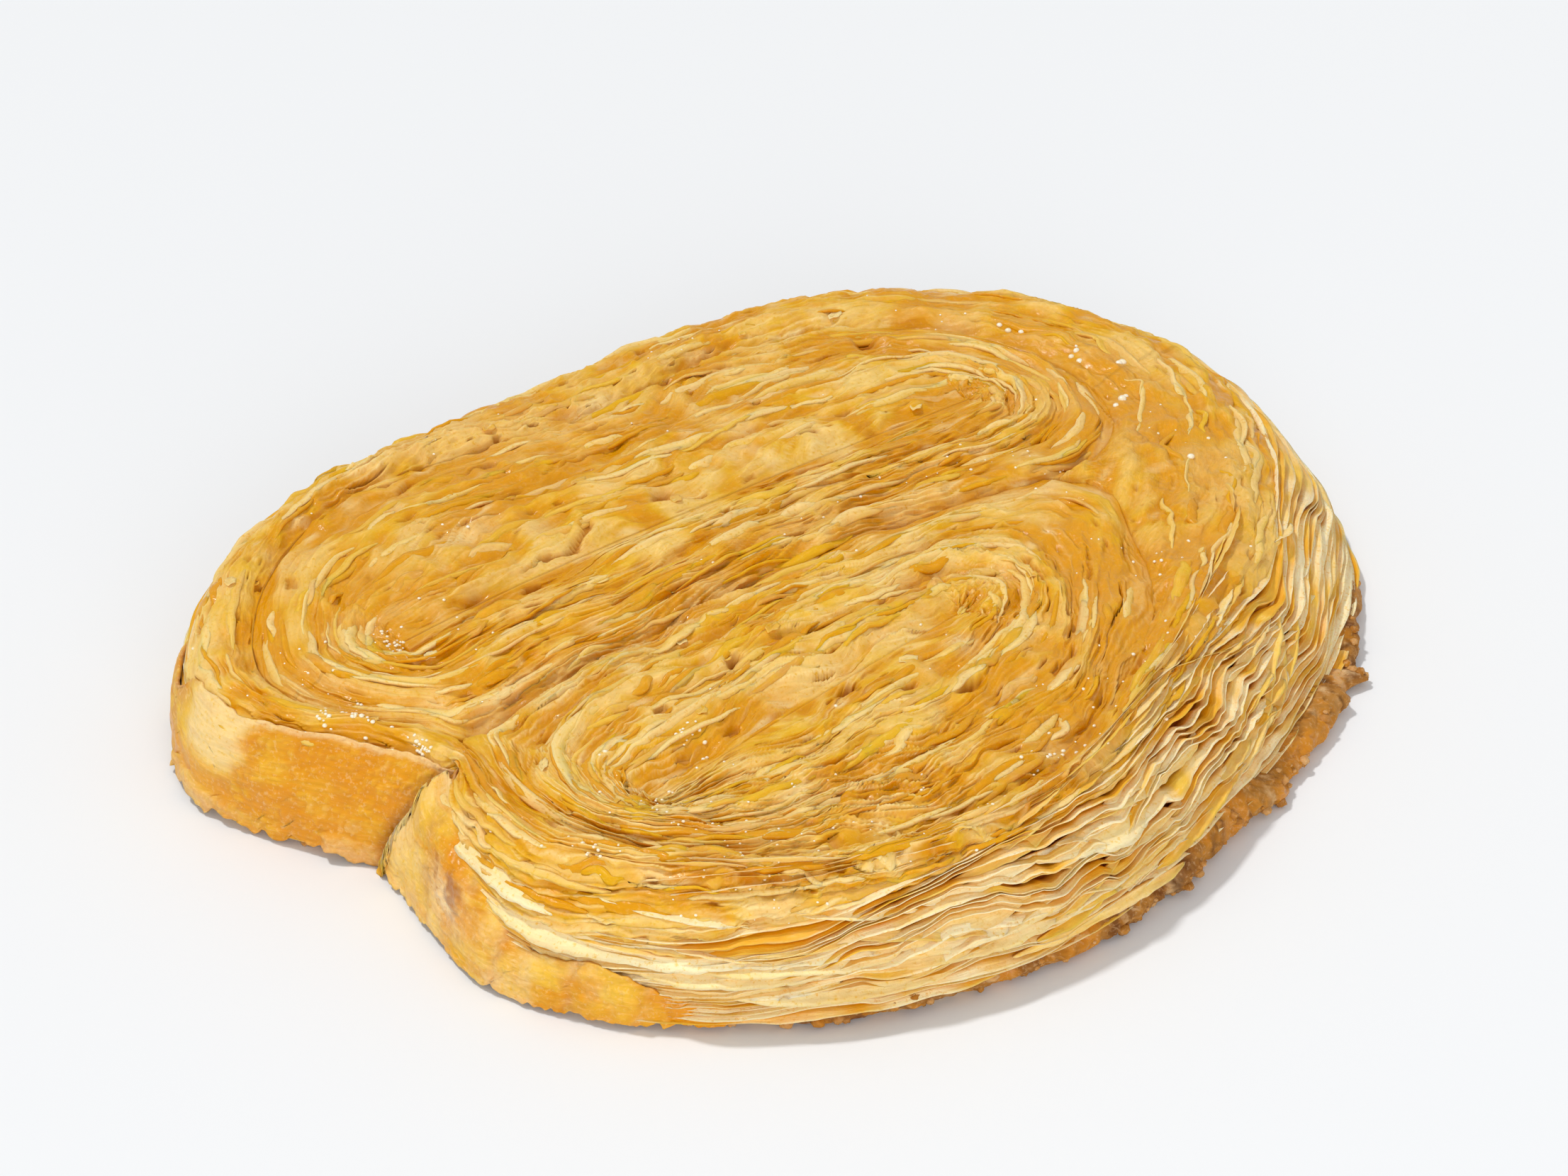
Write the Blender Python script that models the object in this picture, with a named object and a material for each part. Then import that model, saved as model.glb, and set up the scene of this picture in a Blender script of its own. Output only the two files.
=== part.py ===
"""A palmier: a sheet of laminated pastry rolled up from both ends until the two rolls meet, cut across and
baked lying on the cut.

It is one solid. From above it shows two long rolls side by side, the outer turn of the sheet that wraps
them, the seam between the rolls and the notch where it opens. Round the side run the fanned leaves of the
outer turn and the foot of caramel that it stands on.

The formulas work in millimetres, and the mesh is made in metres. X runs across the two rolls, Y along them
with the notch at -Y, and Z up. The origin is the middle of the outline's box, on the face that it rests on.
A direction round the pastry is a bearing in degrees, from +Y (0) by way of +X (90).
"""

import bmesh
import bpy
import numpy as np

MM = 0.001
NODE = "palmier"

# The base outline: a mean radius, and how far it is from round, per number of lobes (along Y, along X).
MEAN_RADIUS = 56.0
UNEVEN = {1: (3.0, 0.6), 2: (6.3, -0.3), 3: (2.2, -1.4), 4: (-0.5, 0.0)}
NOTCH_DEPTH = 9.5
NOTCH_BEARING = 181.5
NOTCH_WIDTH = 15.0

# Heights.
RIM_HEIGHT = 14.2
CROWN = 1.3
NOTCH_DROP = 1.4
FRONT_DROP = 1.0
REAR_DROP = 2.6

# The foot: a lip of caramel that ran out of the sheet and set on the baking tray.
FOOT_BEVEL = 0.9
FOOT_HEIGHT = 2.6
FOOT_LIP = 1.5
FOOT_LUMP = 0.5

# The side: leaves that fan out as they bake, most of all on the +X side.
UPRIGHT_INSET = 4.0
REAR_END_STEEPER = 2.4
FAN_INSET = 8.0
FAN_BEARING = 45.0
LEAVES = 4
LEAF_GAP = 1.0
LEAF_LIP = 0.6
WALL_POWER = 2.3
FAN_WALL_POWER = 1.1

# The outer turn of the sheet, seen from above, and the crease inside it.
TURN_WIDTH = 3.0
SPINE_WIDTH = 8.0
TURN_SWELL = 0.9
CREASE_DEPTH = 0.8
FOLD_FROM_RIM = 5.2
FOLD_DEPTH = 0.9

# The rolls: each is wound round a flattened core, from its notch end to its spine end.
FRONT_CORE = ((20.5, -35.0), (19.5, 5.0))
REAR_CORE = ((-14.5, -34.0), (-7.5, 35.0))
SEAM_BEARING = 18.0
SEAM_HANDLES = ((3.0, -20.0), (1.5, 5.0))
SEAM_DEPTH = 1.0
SEAM_NOTCH_DEPTH = 1.5
SHEET_TURNS = 3.0
SHEET_GROOVE = 0.9
SHEET_WANDER = 0.09
ROLL_SWELL = 0.8
CORE_DEPTH = 1.3
CORE_SHARE = 0.09

# How finely the mesh follows the formulas.
FRONT_STEPS = 50
REAR_STEPS = 60
SEAM_STEPS = 23
ROLL_RINGS = 12

CRUST_COLOUR = (0.70, 0.38, 0.075, 1.0)


def swell(bearing, middle, width):
    """1 at the middle bearing, falling off as a bell curve of this width on both sides."""
    away = (bearing - middle + 180.0) % 360.0 - 180.0
    return np.exp(-((away / width) ** 2))


def outline(bearing):
    """Radius of the base: the mean radius, plus a cosine and a sine for each count of lobes, less the notch."""
    angle = np.radians(bearing)
    radius = MEAN_RADIUS - NOTCH_DEPTH * swell(bearing, NOTCH_BEARING, NOTCH_WIDTH)
    for lobes, (along_y, along_x) in UNEVEN.items():
        radius = radius + along_y * np.cos(lobes * angle) + along_x * np.sin(lobes * angle)
    return radius


def rim_inset(bearing):
    """How far the top rim stands in from the base: most where the leaves fan out, least at the rear end."""
    fanned = FAN_INSET * swell(bearing, FAN_BEARING, 55.0)
    steeper = REAR_END_STEEPER * swell(bearing, 202.0, 18.0)
    return UPRIGHT_INSET + fanned + 3.0 * swell(bearing, -70.0, 60.0) - steeper


def rim_height(bearing):
    """The rim dips at the rounded notch ends of both rolls, and again in the notch."""
    lobes = FRONT_DROP * swell(bearing, 150.0, 28.0) + REAR_DROP * swell(bearing, 204.0, 17.0)
    return RIM_HEIGHT - lobes - NOTCH_DROP * swell(bearing, NOTCH_BEARING, 9.0)


def turn_width(bearing):
    """Width of the outer turn from above. It is widest round the spine end, and runs in to the seam's end."""
    spine = SPINE_WIDTH * swell(bearing, 0.0, 40.0)
    rear = 4.5 * swell(bearing, -75.0, 45.0)
    ends = 1.5 * (swell(bearing, 152.0, 20.0) + swell(bearing, 206.0, 20.0))
    away = np.abs((bearing - SEAM_BEARING + 180.0) % 360.0 - 180.0)
    pocket = 8.0 * np.exp(-away / 5.0) + 6.0 * swell(bearing, 30.0, 22.0)
    return TURN_WIDTH + spine + rear + ends + pocket


def fan(bearing):
    """1 where the leaves stand apart like a book's pages, 0 where the side is one smooth skin."""
    return swell(bearing, 75.0, 55.0)


def polar(radius, bearing):
    """Plan position of a radius along a bearing."""
    angle = np.radians(bearing)
    return np.stack([radius * np.sin(angle), radius * np.cos(angle)], axis=-1)


def seam_line(share):
    """The seam between the rolls, as a cubic curve from the notch (0) to where the outer turn closes it (1)."""
    start = polar(rolls_edge(np.array(180.0)), np.array(180.0))
    end = polar(rolls_edge(np.array(SEAM_BEARING)), np.array(SEAM_BEARING))
    first, second = (np.array(handle) for handle in SEAM_HANDLES)
    t = share[:, None]
    return (
        (1 - t) ** 3 * start
        + 3 * (1 - t) ** 2 * t * first
        + 3 * (1 - t) * t**2 * second
        + t**3 * end
    )


def rolls_edge(bearing):
    """Radius of the edge between the outer turn and the two rolls."""
    return outline(bearing) - rim_inset(bearing) - turn_width(bearing)


def crown_height(plan):
    """Height of the top without its folds: the rim's height, plus a low crown in the middle."""
    bearing = np.degrees(np.arctan2(plan[..., 0], plan[..., 1]))
    share = np.hypot(plan[..., 0], plan[..., 1]) / (outline(bearing) - rim_inset(bearing))
    edge = np.clip(share, 0.0, 1.0) ** 3
    return RIM_HEIGHT * (1 - edge) + rim_height(bearing) * edge + CROWN * (1 - share**2)


def core_foot(plan, core):
    """The nearest point of a roll's core to each point."""
    start, end = (np.array(point) for point in core)
    along = end - start
    share = np.clip((plan - start) @ along / (along @ along), 0.0, 1.0)
    return start + share[:, None] * along


class Surface:
    """Gathers the rings of points and the faces between them."""

    def __init__(self):
        self.points = []
        self.faces = []

    def ring(self, plan, height):
        """Adds a ring of points and returns their numbers."""
        height = np.broadcast_to(height, len(plan))
        first = sum(len(part) for part in self.points)
        self.points.append(np.column_stack([plan, height]))
        return np.arange(first, first + len(plan))

    def join(self, one, other):
        """Four-sided faces between two closed rings with as many points."""
        self.faces += np.stack([one, np.roll(one, -1), np.roll(other, -1), other], axis=1).tolist()

    def cap(self, ring):
        """One face that fills a closed ring."""
        self.faces.append(ring.tolist())


def add_side(surface, bearing):
    """The flat base, the foot, the leaves of the side and the rim. Returns the rim's ring."""
    base = outline(bearing)
    angle = np.radians(bearing)
    lumps = FOOT_LUMP * np.sin(17 * angle) * np.sin(5 * angle + 1.0)
    foot = base + lumps * (0.4 + 0.6 * fan(bearing))
    middle = surface.ring(polar(0.4 * base, bearing), 0.0)
    surface.cap(middle)
    below = surface.ring(polar(foot - FOOT_BEVEL, bearing), 0.0)
    surface.join(middle, below)
    lip = FOOT_LIP * (0.35 + 0.65 * fan(bearing))
    for height, radius in (
        (FOOT_BEVEL, foot),
        (FOOT_HEIGHT, foot - 0.3 * lip),
        (FOOT_HEIGHT + 0.5, base - lip),
    ):
        ring = surface.ring(polar(radius, bearing), height)
        surface.join(below, ring)
        below = ring
    start = (FOOT_HEIGHT + 0.5) / RIM_HEIGHT
    power = WALL_POWER + (FAN_WALL_POWER - WALL_POWER) * swell(bearing, FAN_BEARING, 40.0)
    for leaf in range(LEAVES):
        wander = 0.5 * fan(bearing) * np.sin(3 * angle + 2.1 * leaf)
        for share, lean in ((leaf + 0.3, -LEAF_GAP), (leaf + 0.8, LEAF_LIP)):
            rise = start + (1 - start) * share / LEAVES
            radius = base - rim_inset(bearing) * rise**power + lean * fan(bearing)
            ring = surface.ring(polar(radius, bearing), rim_height(bearing) * rise + wander)
            surface.join(below, ring)
            below = ring
    rim = surface.ring(polar(base - rim_inset(bearing), bearing), rim_height(bearing))
    surface.join(below, rim)
    return rim


def add_outer_turn(surface, rim, bearing):
    """The outer turn from above: a rounded band inside the rim, down to the crease. Where it is wide, a fold
    runs along it at a set distance from the rim. Returns the ring of the crease."""
    width = turn_width(bearing)
    wide = np.clip((width - 7.0) / 4.0, 0.0, 1.0)
    below = rim
    for share in (0.2, 0.4, 0.6, 0.8, 1.0):
        plan = polar(outline(bearing) - rim_inset(bearing) - share * width, bearing)
        crease = CREASE_DEPTH * np.exp(-(((1 - share) * width / 1.6) ** 2))
        fold = FOLD_DEPTH * wide * np.exp(-(((share * width - FOLD_FROM_RIM) / 1.5) ** 2))
        height = crown_height(plan) + TURN_SWELL * np.sin(np.pi * share) - crease - fold
        ring = surface.ring(plan, height)
        surface.join(below, ring)
        below = ring
    return below


def add_roll(surface, border, core, hand):
    """A roll from above, as rings that close in from its border to its core. The wound sheet leaves a groove
    that runs in as a spiral: its depth is a cosine of the turns from the core plus the share of the way round,
    and the whole wanders a little, because no turn bakes to the same thickness all along."""
    points = np.concatenate(surface.points)[border]
    plan = points[:, :2]
    feet = core_foot(plan, core)
    start, end = (np.array(point) for point in core)
    away = plan - (start + end) / 2
    round_share = np.arctan2(away[:, 0], away[:, 1]) / (2 * np.pi) * hand
    sunk = crown_height(plan) - points[:, 2]
    below = border
    for number in range(1, ROLL_RINGS + 1):
        share = 1 - (1 - CORE_SHARE) * number / ROLL_RINGS
        place = feet + share * (plan - feet)
        from_border = np.linalg.norm(plan - place, axis=1)
        from_core = np.linalg.norm(place - feet, axis=1)
        inside = np.sin(np.pi * share) ** 0.5
        wander = np.sin(4 * np.pi * round_share + 5 * share) + np.sin(14 * np.pi * round_share - 9 * share)
        phase = 2 * np.pi * (SHEET_TURNS * share + round_share + SHEET_WANDER * wander)
        groove = SHEET_GROOVE * (0.5 + 0.5 * np.cos(phase)) ** 2
        height = crown_height(place) + (ROLL_SWELL - groove) * inside
        height = height - sunk * np.exp(-((from_border / 1.7) ** 2))
        height = height - CORE_DEPTH * np.exp(-((from_core / 2.2) ** 2))
        ring = surface.ring(place, height)
        surface.join(below, ring)
        below = ring
    surface.cap(below)


def build_surface():
    """The whole skin, closed: the side and base, the outer turn, the seam and the two rolls."""
    surface = Surface()
    front = np.linspace(SEAM_BEARING, 180.0, FRONT_STEPS, endpoint=False)
    rear = np.linspace(180.0, 360.0 + SEAM_BEARING, REAR_STEPS, endpoint=False)
    bearing = np.concatenate([front, rear])
    rim = add_side(surface, bearing)
    crease = add_outer_turn(surface, rim, bearing)
    share = np.arange(1, SEAM_STEPS + 1) / (SEAM_STEPS + 1)
    plan = seam_line(share)
    depth = SEAM_DEPTH + SEAM_NOTCH_DEPTH * (1 - share) ** 2
    seam = surface.ring(plan, crown_height(plan) - depth)
    notch_end = crease[FRONT_STEPS]
    front_border = np.concatenate([crease[:FRONT_STEPS], [notch_end], seam])
    rear_border = np.concatenate([crease[FRONT_STEPS:], [crease[0]], seam[::-1]])
    add_roll(surface, front_border, FRONT_CORE, 1)
    add_roll(surface, rear_border, REAR_CORE, -1)
    return np.concatenate(surface.points), surface.faces


def crust_material():
    """Baked puff pastry under a thin sugar glaze."""
    material = bpy.data.materials.new("glazed_crust")
    material.use_nodes = True
    shader = material.node_tree.nodes["Principled BSDF"]
    shader.inputs["Base Color"].default_value = CRUST_COLOUR
    shader.inputs["Roughness"].default_value = 0.45
    shader.inputs["Metallic"].default_value = 0.0
    return material


def main():
    for old in list(bpy.data.objects):
        bpy.data.objects.remove(old, do_unlink=True)
    points, faces = build_surface()
    low, high = points.min(axis=0), points.max(axis=0)
    points[:, :2] -= (low[:2] + high[:2]) / 2
    mesh = bpy.data.meshes.new(NODE)
    mesh.from_pydata((points * MM).tolist(), [], faces)
    work = bmesh.new()
    work.from_mesh(mesh)
    bmesh.ops.triangulate(work, faces=work.faces[:], ngon_method="BEAUTY")
    bmesh.ops.recalc_face_normals(work, faces=work.faces[:])
    work.to_mesh(mesh)
    work.free()
    mesh.materials.append(crust_material())
    palmier = bpy.data.objects.new(NODE, mesh)
    bpy.context.scene.collection.objects.link(palmier)


main()
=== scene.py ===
# %% [markdown]
# # A palmier in its baked finish
# A palmier is a sheet of puff pastry rolled up from both ends until the rolls meet, cut across, and baked
# lying on the cut. So what faces up is the edge of every leaf of the dough, wound into two long rolls.
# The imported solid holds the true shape. This lesson covers it with the leaves, crust, glaze and sugar.

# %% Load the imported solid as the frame
import math

import bpy
import numpy as np
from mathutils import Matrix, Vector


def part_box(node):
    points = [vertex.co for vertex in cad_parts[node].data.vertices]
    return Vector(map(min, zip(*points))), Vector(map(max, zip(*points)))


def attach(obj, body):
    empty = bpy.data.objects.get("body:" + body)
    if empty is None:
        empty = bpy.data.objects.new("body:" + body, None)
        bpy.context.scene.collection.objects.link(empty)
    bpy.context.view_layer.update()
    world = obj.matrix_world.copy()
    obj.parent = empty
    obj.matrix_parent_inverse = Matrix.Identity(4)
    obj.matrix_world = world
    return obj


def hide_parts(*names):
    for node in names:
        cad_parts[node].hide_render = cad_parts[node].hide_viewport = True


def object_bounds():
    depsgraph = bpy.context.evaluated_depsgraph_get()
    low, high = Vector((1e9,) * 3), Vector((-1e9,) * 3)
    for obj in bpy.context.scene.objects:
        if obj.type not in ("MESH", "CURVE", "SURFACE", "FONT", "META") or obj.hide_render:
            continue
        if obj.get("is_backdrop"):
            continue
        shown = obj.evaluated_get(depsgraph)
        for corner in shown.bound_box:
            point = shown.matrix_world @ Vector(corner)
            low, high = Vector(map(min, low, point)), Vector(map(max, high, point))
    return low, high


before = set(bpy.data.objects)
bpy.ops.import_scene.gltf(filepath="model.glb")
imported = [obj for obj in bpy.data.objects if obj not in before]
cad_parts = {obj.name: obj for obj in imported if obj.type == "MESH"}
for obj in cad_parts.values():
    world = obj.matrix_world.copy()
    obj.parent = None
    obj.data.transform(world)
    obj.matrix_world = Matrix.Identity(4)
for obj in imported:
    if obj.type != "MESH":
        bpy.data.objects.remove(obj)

CAD_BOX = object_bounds()
NODE = "palmier"
BODY = "root"
MM = 0.001
node_low, node_high = (np.array(corner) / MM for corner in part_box(NODE))
print("the solid is, in mm,", np.round(node_high - node_low, 1))

# %% [markdown]
# ## The pastry's own plan
# Every surface below starts from the same few formulas as the solid: an outline that is a circle made
# uneven by a few waves, a rim set in from it, and an edge where the outer turn meets the rolls. They work
# in millimetres about the middle of that circle. A bearing is in degrees, from +Y (0) by way of +X (90).

# %% Plan formulas
MEAN_RADIUS = 56.0
UNEVEN = {1: (3.0, 0.6), 2: (6.3, -0.3), 3: (2.2, -1.4), 4: (-0.5, 0.0)}
NOTCH_BEARING = 181.5
SEAM_BEARING = 18.0
SEAM_HANDLES = ((3.0, -20.0), (1.5, 5.0))
FRONT_CORE = ((20.5, -35.0), (19.5, 5.0))
REAR_CORE = ((-14.5, -34.0), (-7.5, 35.0))
RIM_HEIGHT = 14.2
FOOT_HEIGHT = 2.6
FAN_BEARING = 45.0


def swell(bearing, middle, width):
    """1 at the middle bearing, falling off as a bell curve of this width on both sides."""
    away = (bearing - middle + 180.0) % 360.0 - 180.0
    return np.exp(-((away / width) ** 2))


def outline(bearing):
    """Radius of the base: mean radius, plus a cosine and a sine for each count of lobes, less the notch."""
    angle = np.radians(bearing)
    radius = MEAN_RADIUS - 9.5 * swell(bearing, NOTCH_BEARING, 15.0)
    for lobes, (along_y, along_x) in UNEVEN.items():
        radius = radius + along_y * np.cos(lobes * angle) + along_x * np.sin(lobes * angle)
    return radius


def rim_inset(bearing):
    """How far the top rim stands in from the base: most where the leaves fan out, least at the rear end."""
    fanned = 8.0 * swell(bearing, FAN_BEARING, 55.0) + 3.0 * swell(bearing, -70.0, 60.0)
    return 4.0 + fanned - 2.4 * swell(bearing, 202.0, 18.0)


def rim_height(bearing):
    """The rim dips at the rounded notch ends of both rolls, and again in the notch."""
    lobes = swell(bearing, 150.0, 28.0) + 2.6 * swell(bearing, 204.0, 17.0)
    return RIM_HEIGHT - lobes - 1.4 * swell(bearing, NOTCH_BEARING, 9.0)


def turn_width(bearing):
    """Width of the outer turn from above: widest round the spine end, running in to the seam's end."""
    ends = 1.5 * (swell(bearing, 152.0, 20.0) + swell(bearing, 206.0, 20.0))
    away = np.abs((bearing - SEAM_BEARING + 180.0) % 360.0 - 180.0)
    pocket = 8.0 * np.exp(-away / 5.0) + 6.0 * swell(bearing, 30.0, 22.0)
    return 3.0 + 8.0 * swell(bearing, 0.0, 40.0) + 4.5 * swell(bearing, -75.0, 45.0) + ends + pocket


def wall_power(bearing):
    """How the wall leans in as it rises: near 1 is a straight slope, above 2 is upright with a round rim."""
    return 2.3 - 1.2 * swell(bearing, FAN_BEARING, 40.0)


def rim_radius(bearing):
    """Radius of the top rim."""
    return outline(bearing) - rim_inset(bearing)


def polar(radius, bearing):
    """Plan position of a radius along a bearing."""
    angle = np.radians(bearing)
    return np.stack([radius * np.sin(angle), radius * np.cos(angle)], axis=-1)


def crown_height(plan):
    """Height of the top without its folds: the rim's height, plus a low crown in the middle."""
    bearing = np.degrees(np.arctan2(plan[..., 0], plan[..., 1]))
    share = np.hypot(plan[..., 0], plan[..., 1]) / rim_radius(bearing)
    edge = np.clip(share, 0.0, 1.0) ** 3
    return RIM_HEIGHT * (1 - edge) + rim_height(bearing) * edge + 1.3 * (1 - share**2)


def seam_line(share):
    """The seam between the rolls: a cubic curve from the notch (0) to where the outer turn closes it (1)."""
    ends = [polar(rim_radius(b) - turn_width(b), b) for b in (180.0, SEAM_BEARING)]
    t = share[:, None]
    first, second = (np.array(handle) for handle in SEAM_HANDLES)
    bend = 3 * (1 - t) ** 2 * t * first + 3 * (1 - t) * t**2 * second
    line = (1 - t) ** 3 * ends[0] + bend + t**3 * ends[1]
    wander = 0.5 * np.sin(23.0 * t) + 0.35 * np.sin(41.0 * t + 1.0)
    return line + wander * np.sin(np.pi * t) * np.array([1.0, -0.1])


every_bearing = np.arange(0.0, 360.0, 0.25)
plan_low = polar(outline(every_bearing), every_bearing).min(axis=0)
MIDDLE = np.append(node_low[:2] - plan_low, 0.0)
print("the circle's middle lies at, in mm,", np.round(MIDDLE, 2))

# %% [markdown]
# ## Unevenness that can be repeated
# Nothing baked is even, yet the script has to give the same pastry each run. So each random value comes
# from the whole numbers of a grid cell by a fixed scramble, and smooth noise eases between those values.
# On a roll the noise has to meet itself after one turn, one leaf-count further in: that is what slip does.

# %% Noise helpers
rng = np.random.default_rng(7)


def scatter(i, j, seed):
    """A value from -1 to 1 for each pair of whole numbers, by scrambling their bits with the seed."""
    h = i.astype(np.int64) * 374761393 + j.astype(np.int64) * 668265263 + seed * 974634777
    h = h & 0xFFFFFFFF
    h = ((h ^ (h >> 13)) * 1274126177) & 0xFFFFFFFF
    h = ((h ^ (h >> 16)) * 2246822519) & 0xFFFFFFFF
    return (h ^ (h >> 15)) / 2147483647.5 - 1.0


def ease(t):
    """Smooth step: 0 up to 0, 1 from 1, with level ends."""
    t = np.clip(t, 0.0, 1.0)
    return t * t * (3 - 2 * t)


def noise(u, v, seed, wrap=0, slip=0):
    """Smooth noise from -1 to 1, a random value at each whole (u, v) eased to the next. With wrap, v runs
    round a loop of that many cells, and u moves on by slip cells each time round."""
    i, j = np.floor(u), np.floor(v)
    a, b = ease(u - i), ease(v - j)

    def corner(di, dj):
        ii, jj = i + di, j + dj
        if wrap:
            ii, jj = ii - slip * np.floor(jj / wrap), jj % wrap
        return scatter(ii, jj, seed)

    near = corner(0, 0) * (1 - a) + corner(1, 0) * a
    far = corner(0, 1) * (1 - a) + corner(1, 1) * a
    return near * (1 - b) + far * b


def rough(plan, size, seed, layers=3):
    """Noise over the plan, in layers that each halve the size in mm and the strength."""
    total = 0.0
    for layer in range(layers):
        scale = size / 2**layer
        total = total + noise(plan[..., 0] / scale, plan[..., 1] / scale, seed + 31 * layer) / 2**layer
    return total / 1.6


def spot(plan, middle, size):
    """1 at a place on the plan, falling off as a bell over size mm (along X, along Y)."""
    away = (plan - np.array(middle)) / np.array(size)
    return np.exp(-(away**2).sum(axis=-1))


# %% [markdown]
# ## Turning grids into pieces
# A surface is a grid of points worked out in one go. These helpers join grids into closed shells of
# triangles, weld the points that meet at a pole or a core, turn every shell to face outwards, and store
# what the finish needs at each point: how browned, glazed and pale it is, and how deep it lies, which
# the finish turns into painted shade.

# %% Mesh helpers
# gap is painted shade: how dark a point is painted for lying deep between leaves, in a crease or in a hole
LOOKS = ("toast", "amber", "pale", "gap")


def tube_faces(rows, columns, closed_rows):
    """Four-sided faces of a grid whose columns run round a loop, and its rows too if closed_rows."""
    index = np.arange(rows * columns).reshape(rows, columns)
    if closed_rows:
        index = np.vstack([index, index[:1]])
    right = np.roll(index, -1, axis=1)
    return np.stack([index[:-1], right[:-1], right[1:], index[1:]], axis=-1).reshape(-1, 4)


def welded(points, faces, looks):
    """Points that share a place made one, and each four-sided face cut into triangles that have an area."""
    key = np.round(points * 2e4).astype(np.int64)
    _, first, index = np.unique(key, axis=0, return_index=True, return_inverse=True)
    faces = index.reshape(-1)[faces]
    triangles = np.concatenate([faces[:, [0, 1, 2]], faces[:, [0, 2, 3]]])
    a, b, c = triangles.T
    triangles = triangles[(a != b) & (b != c) & (a != c)]
    return points[first], triangles, {name: value[first] for name, value in looks.items()}


def make_piece(name, points, faces, looks, material, replaces=False):
    """One piece from points in mm about the circle's middle, faces, and a value at each point per look.
    The looks across and along, in mm over and down the leaves' grain, lay the finish's streaks. Without
    them the streaks follow the place itself."""
    if "across" not in looks:
        looks = dict(looks, across=points[:, 0] + points[:, 2], along=points[:, 1] + 0.5 * points[:, 2])
    points, triangles, looks = welded(points, faces, looks)
    corners = points[triangles]
    volume = np.einsum("ij,ij->i", corners[:, 0], np.cross(corners[:, 1], corners[:, 2])).sum()
    if volume < 0:
        triangles = triangles[:, ::-1]
    mesh = bpy.data.meshes.new(name)
    mesh.vertices.add(len(points))
    mesh.vertices.foreach_set("co", ((points + MIDDLE) * MM).astype(np.float32).ravel())
    mesh.loops.add(triangles.size)
    mesh.loops.foreach_set("vertex_index", triangles.astype(np.int32).ravel())
    mesh.polygons.add(len(triangles))
    mesh.polygons.foreach_set("loop_start", np.arange(0, triangles.size, 3, dtype=np.int32))
    mesh.polygons.foreach_set("use_smooth", np.ones(len(triangles), bool))
    mesh.update(calc_edges=True)
    mesh.validate()
    for look in LOOKS:
        attribute = mesh.attributes.new(look, "FLOAT", "POINT")
        attribute.data.foreach_set("value", np.clip(looks[look], 0, 1).astype(np.float32))
    grain = np.stack([looks["across"], looks["along"], 0 * looks["along"]], axis=-1)
    attribute = mesh.attributes.new("grain", "FLOAT_VECTOR", "POINT")
    attribute.data.foreach_set("vector", grain.astype(np.float32).ravel())
    mesh.materials.append(material)
    piece = bpy.data.objects.new(name, mesh)
    bpy.context.scene.collection.objects.link(piece)
    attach(piece, BODY)
    if replaces:
        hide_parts(NODE)
    print(f"{name}: {len(triangles)} triangles")
    return piece


# %% [markdown]
# ## Materials
# Baked puff pastry is butter-soaked starch: golden where it dried fast, brown where sugar caught, pale on
# the faces of leaves that never met the heat, and amber, clear and wet-looking where syrup ran down between
# the leaves. One shader mixes these by the values stored at each point, with fine noise on top. Some of
# it is painted light: the gap colour is painted shade in deep places, and amber in the lows and pale on
# the crests are partly painted shade and light for the relief.

# %% Material helpers


def linear(code):
    """An sRGB colour such as '#E0A94B' as the linear values that a shader reads."""
    values = [int(code[k : k + 2], 16) / 255 for k in (1, 3, 5)]
    return tuple(v / 12.92 if v <= 0.04045 else ((v + 0.055) / 1.055) ** 2.4 for v in values) + (1.0,)


def add_node(material, kind, settings=None, **inputs):
    """Adds a node. A setting is one of its properties; an input is a value, or another node's output."""
    node = material.node_tree.nodes.new(kind)
    for name, value in (settings or {}).items():
        setattr(node, name, value)
    for name, value in inputs.items():
        key = int(name[1:]) if name[0] == "i" and name[1:].isdigit() else name.replace("_", " ")
        if isinstance(value, bpy.types.NodeSocket):
            material.node_tree.links.new(value, node.inputs[key])
        else:
            node.inputs[key].default_value = value
    return node


def mixed(material, share, one, other):
    """The colour between one (share 0) and other (share 1)."""
    node = add_node(material, "ShaderNodeMix", {"data_type": "RGBA"}, i0=share, i6=one, i7=other)
    return node.outputs[2]


def computed(material, operation, a, b, limit=False):
    """A sum, product or the like of two values."""
    node = add_node(material, "ShaderNodeMath", {"operation": operation, "use_clamp": limit}, i0=a, i1=b)
    return node.outputs[0]


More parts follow.
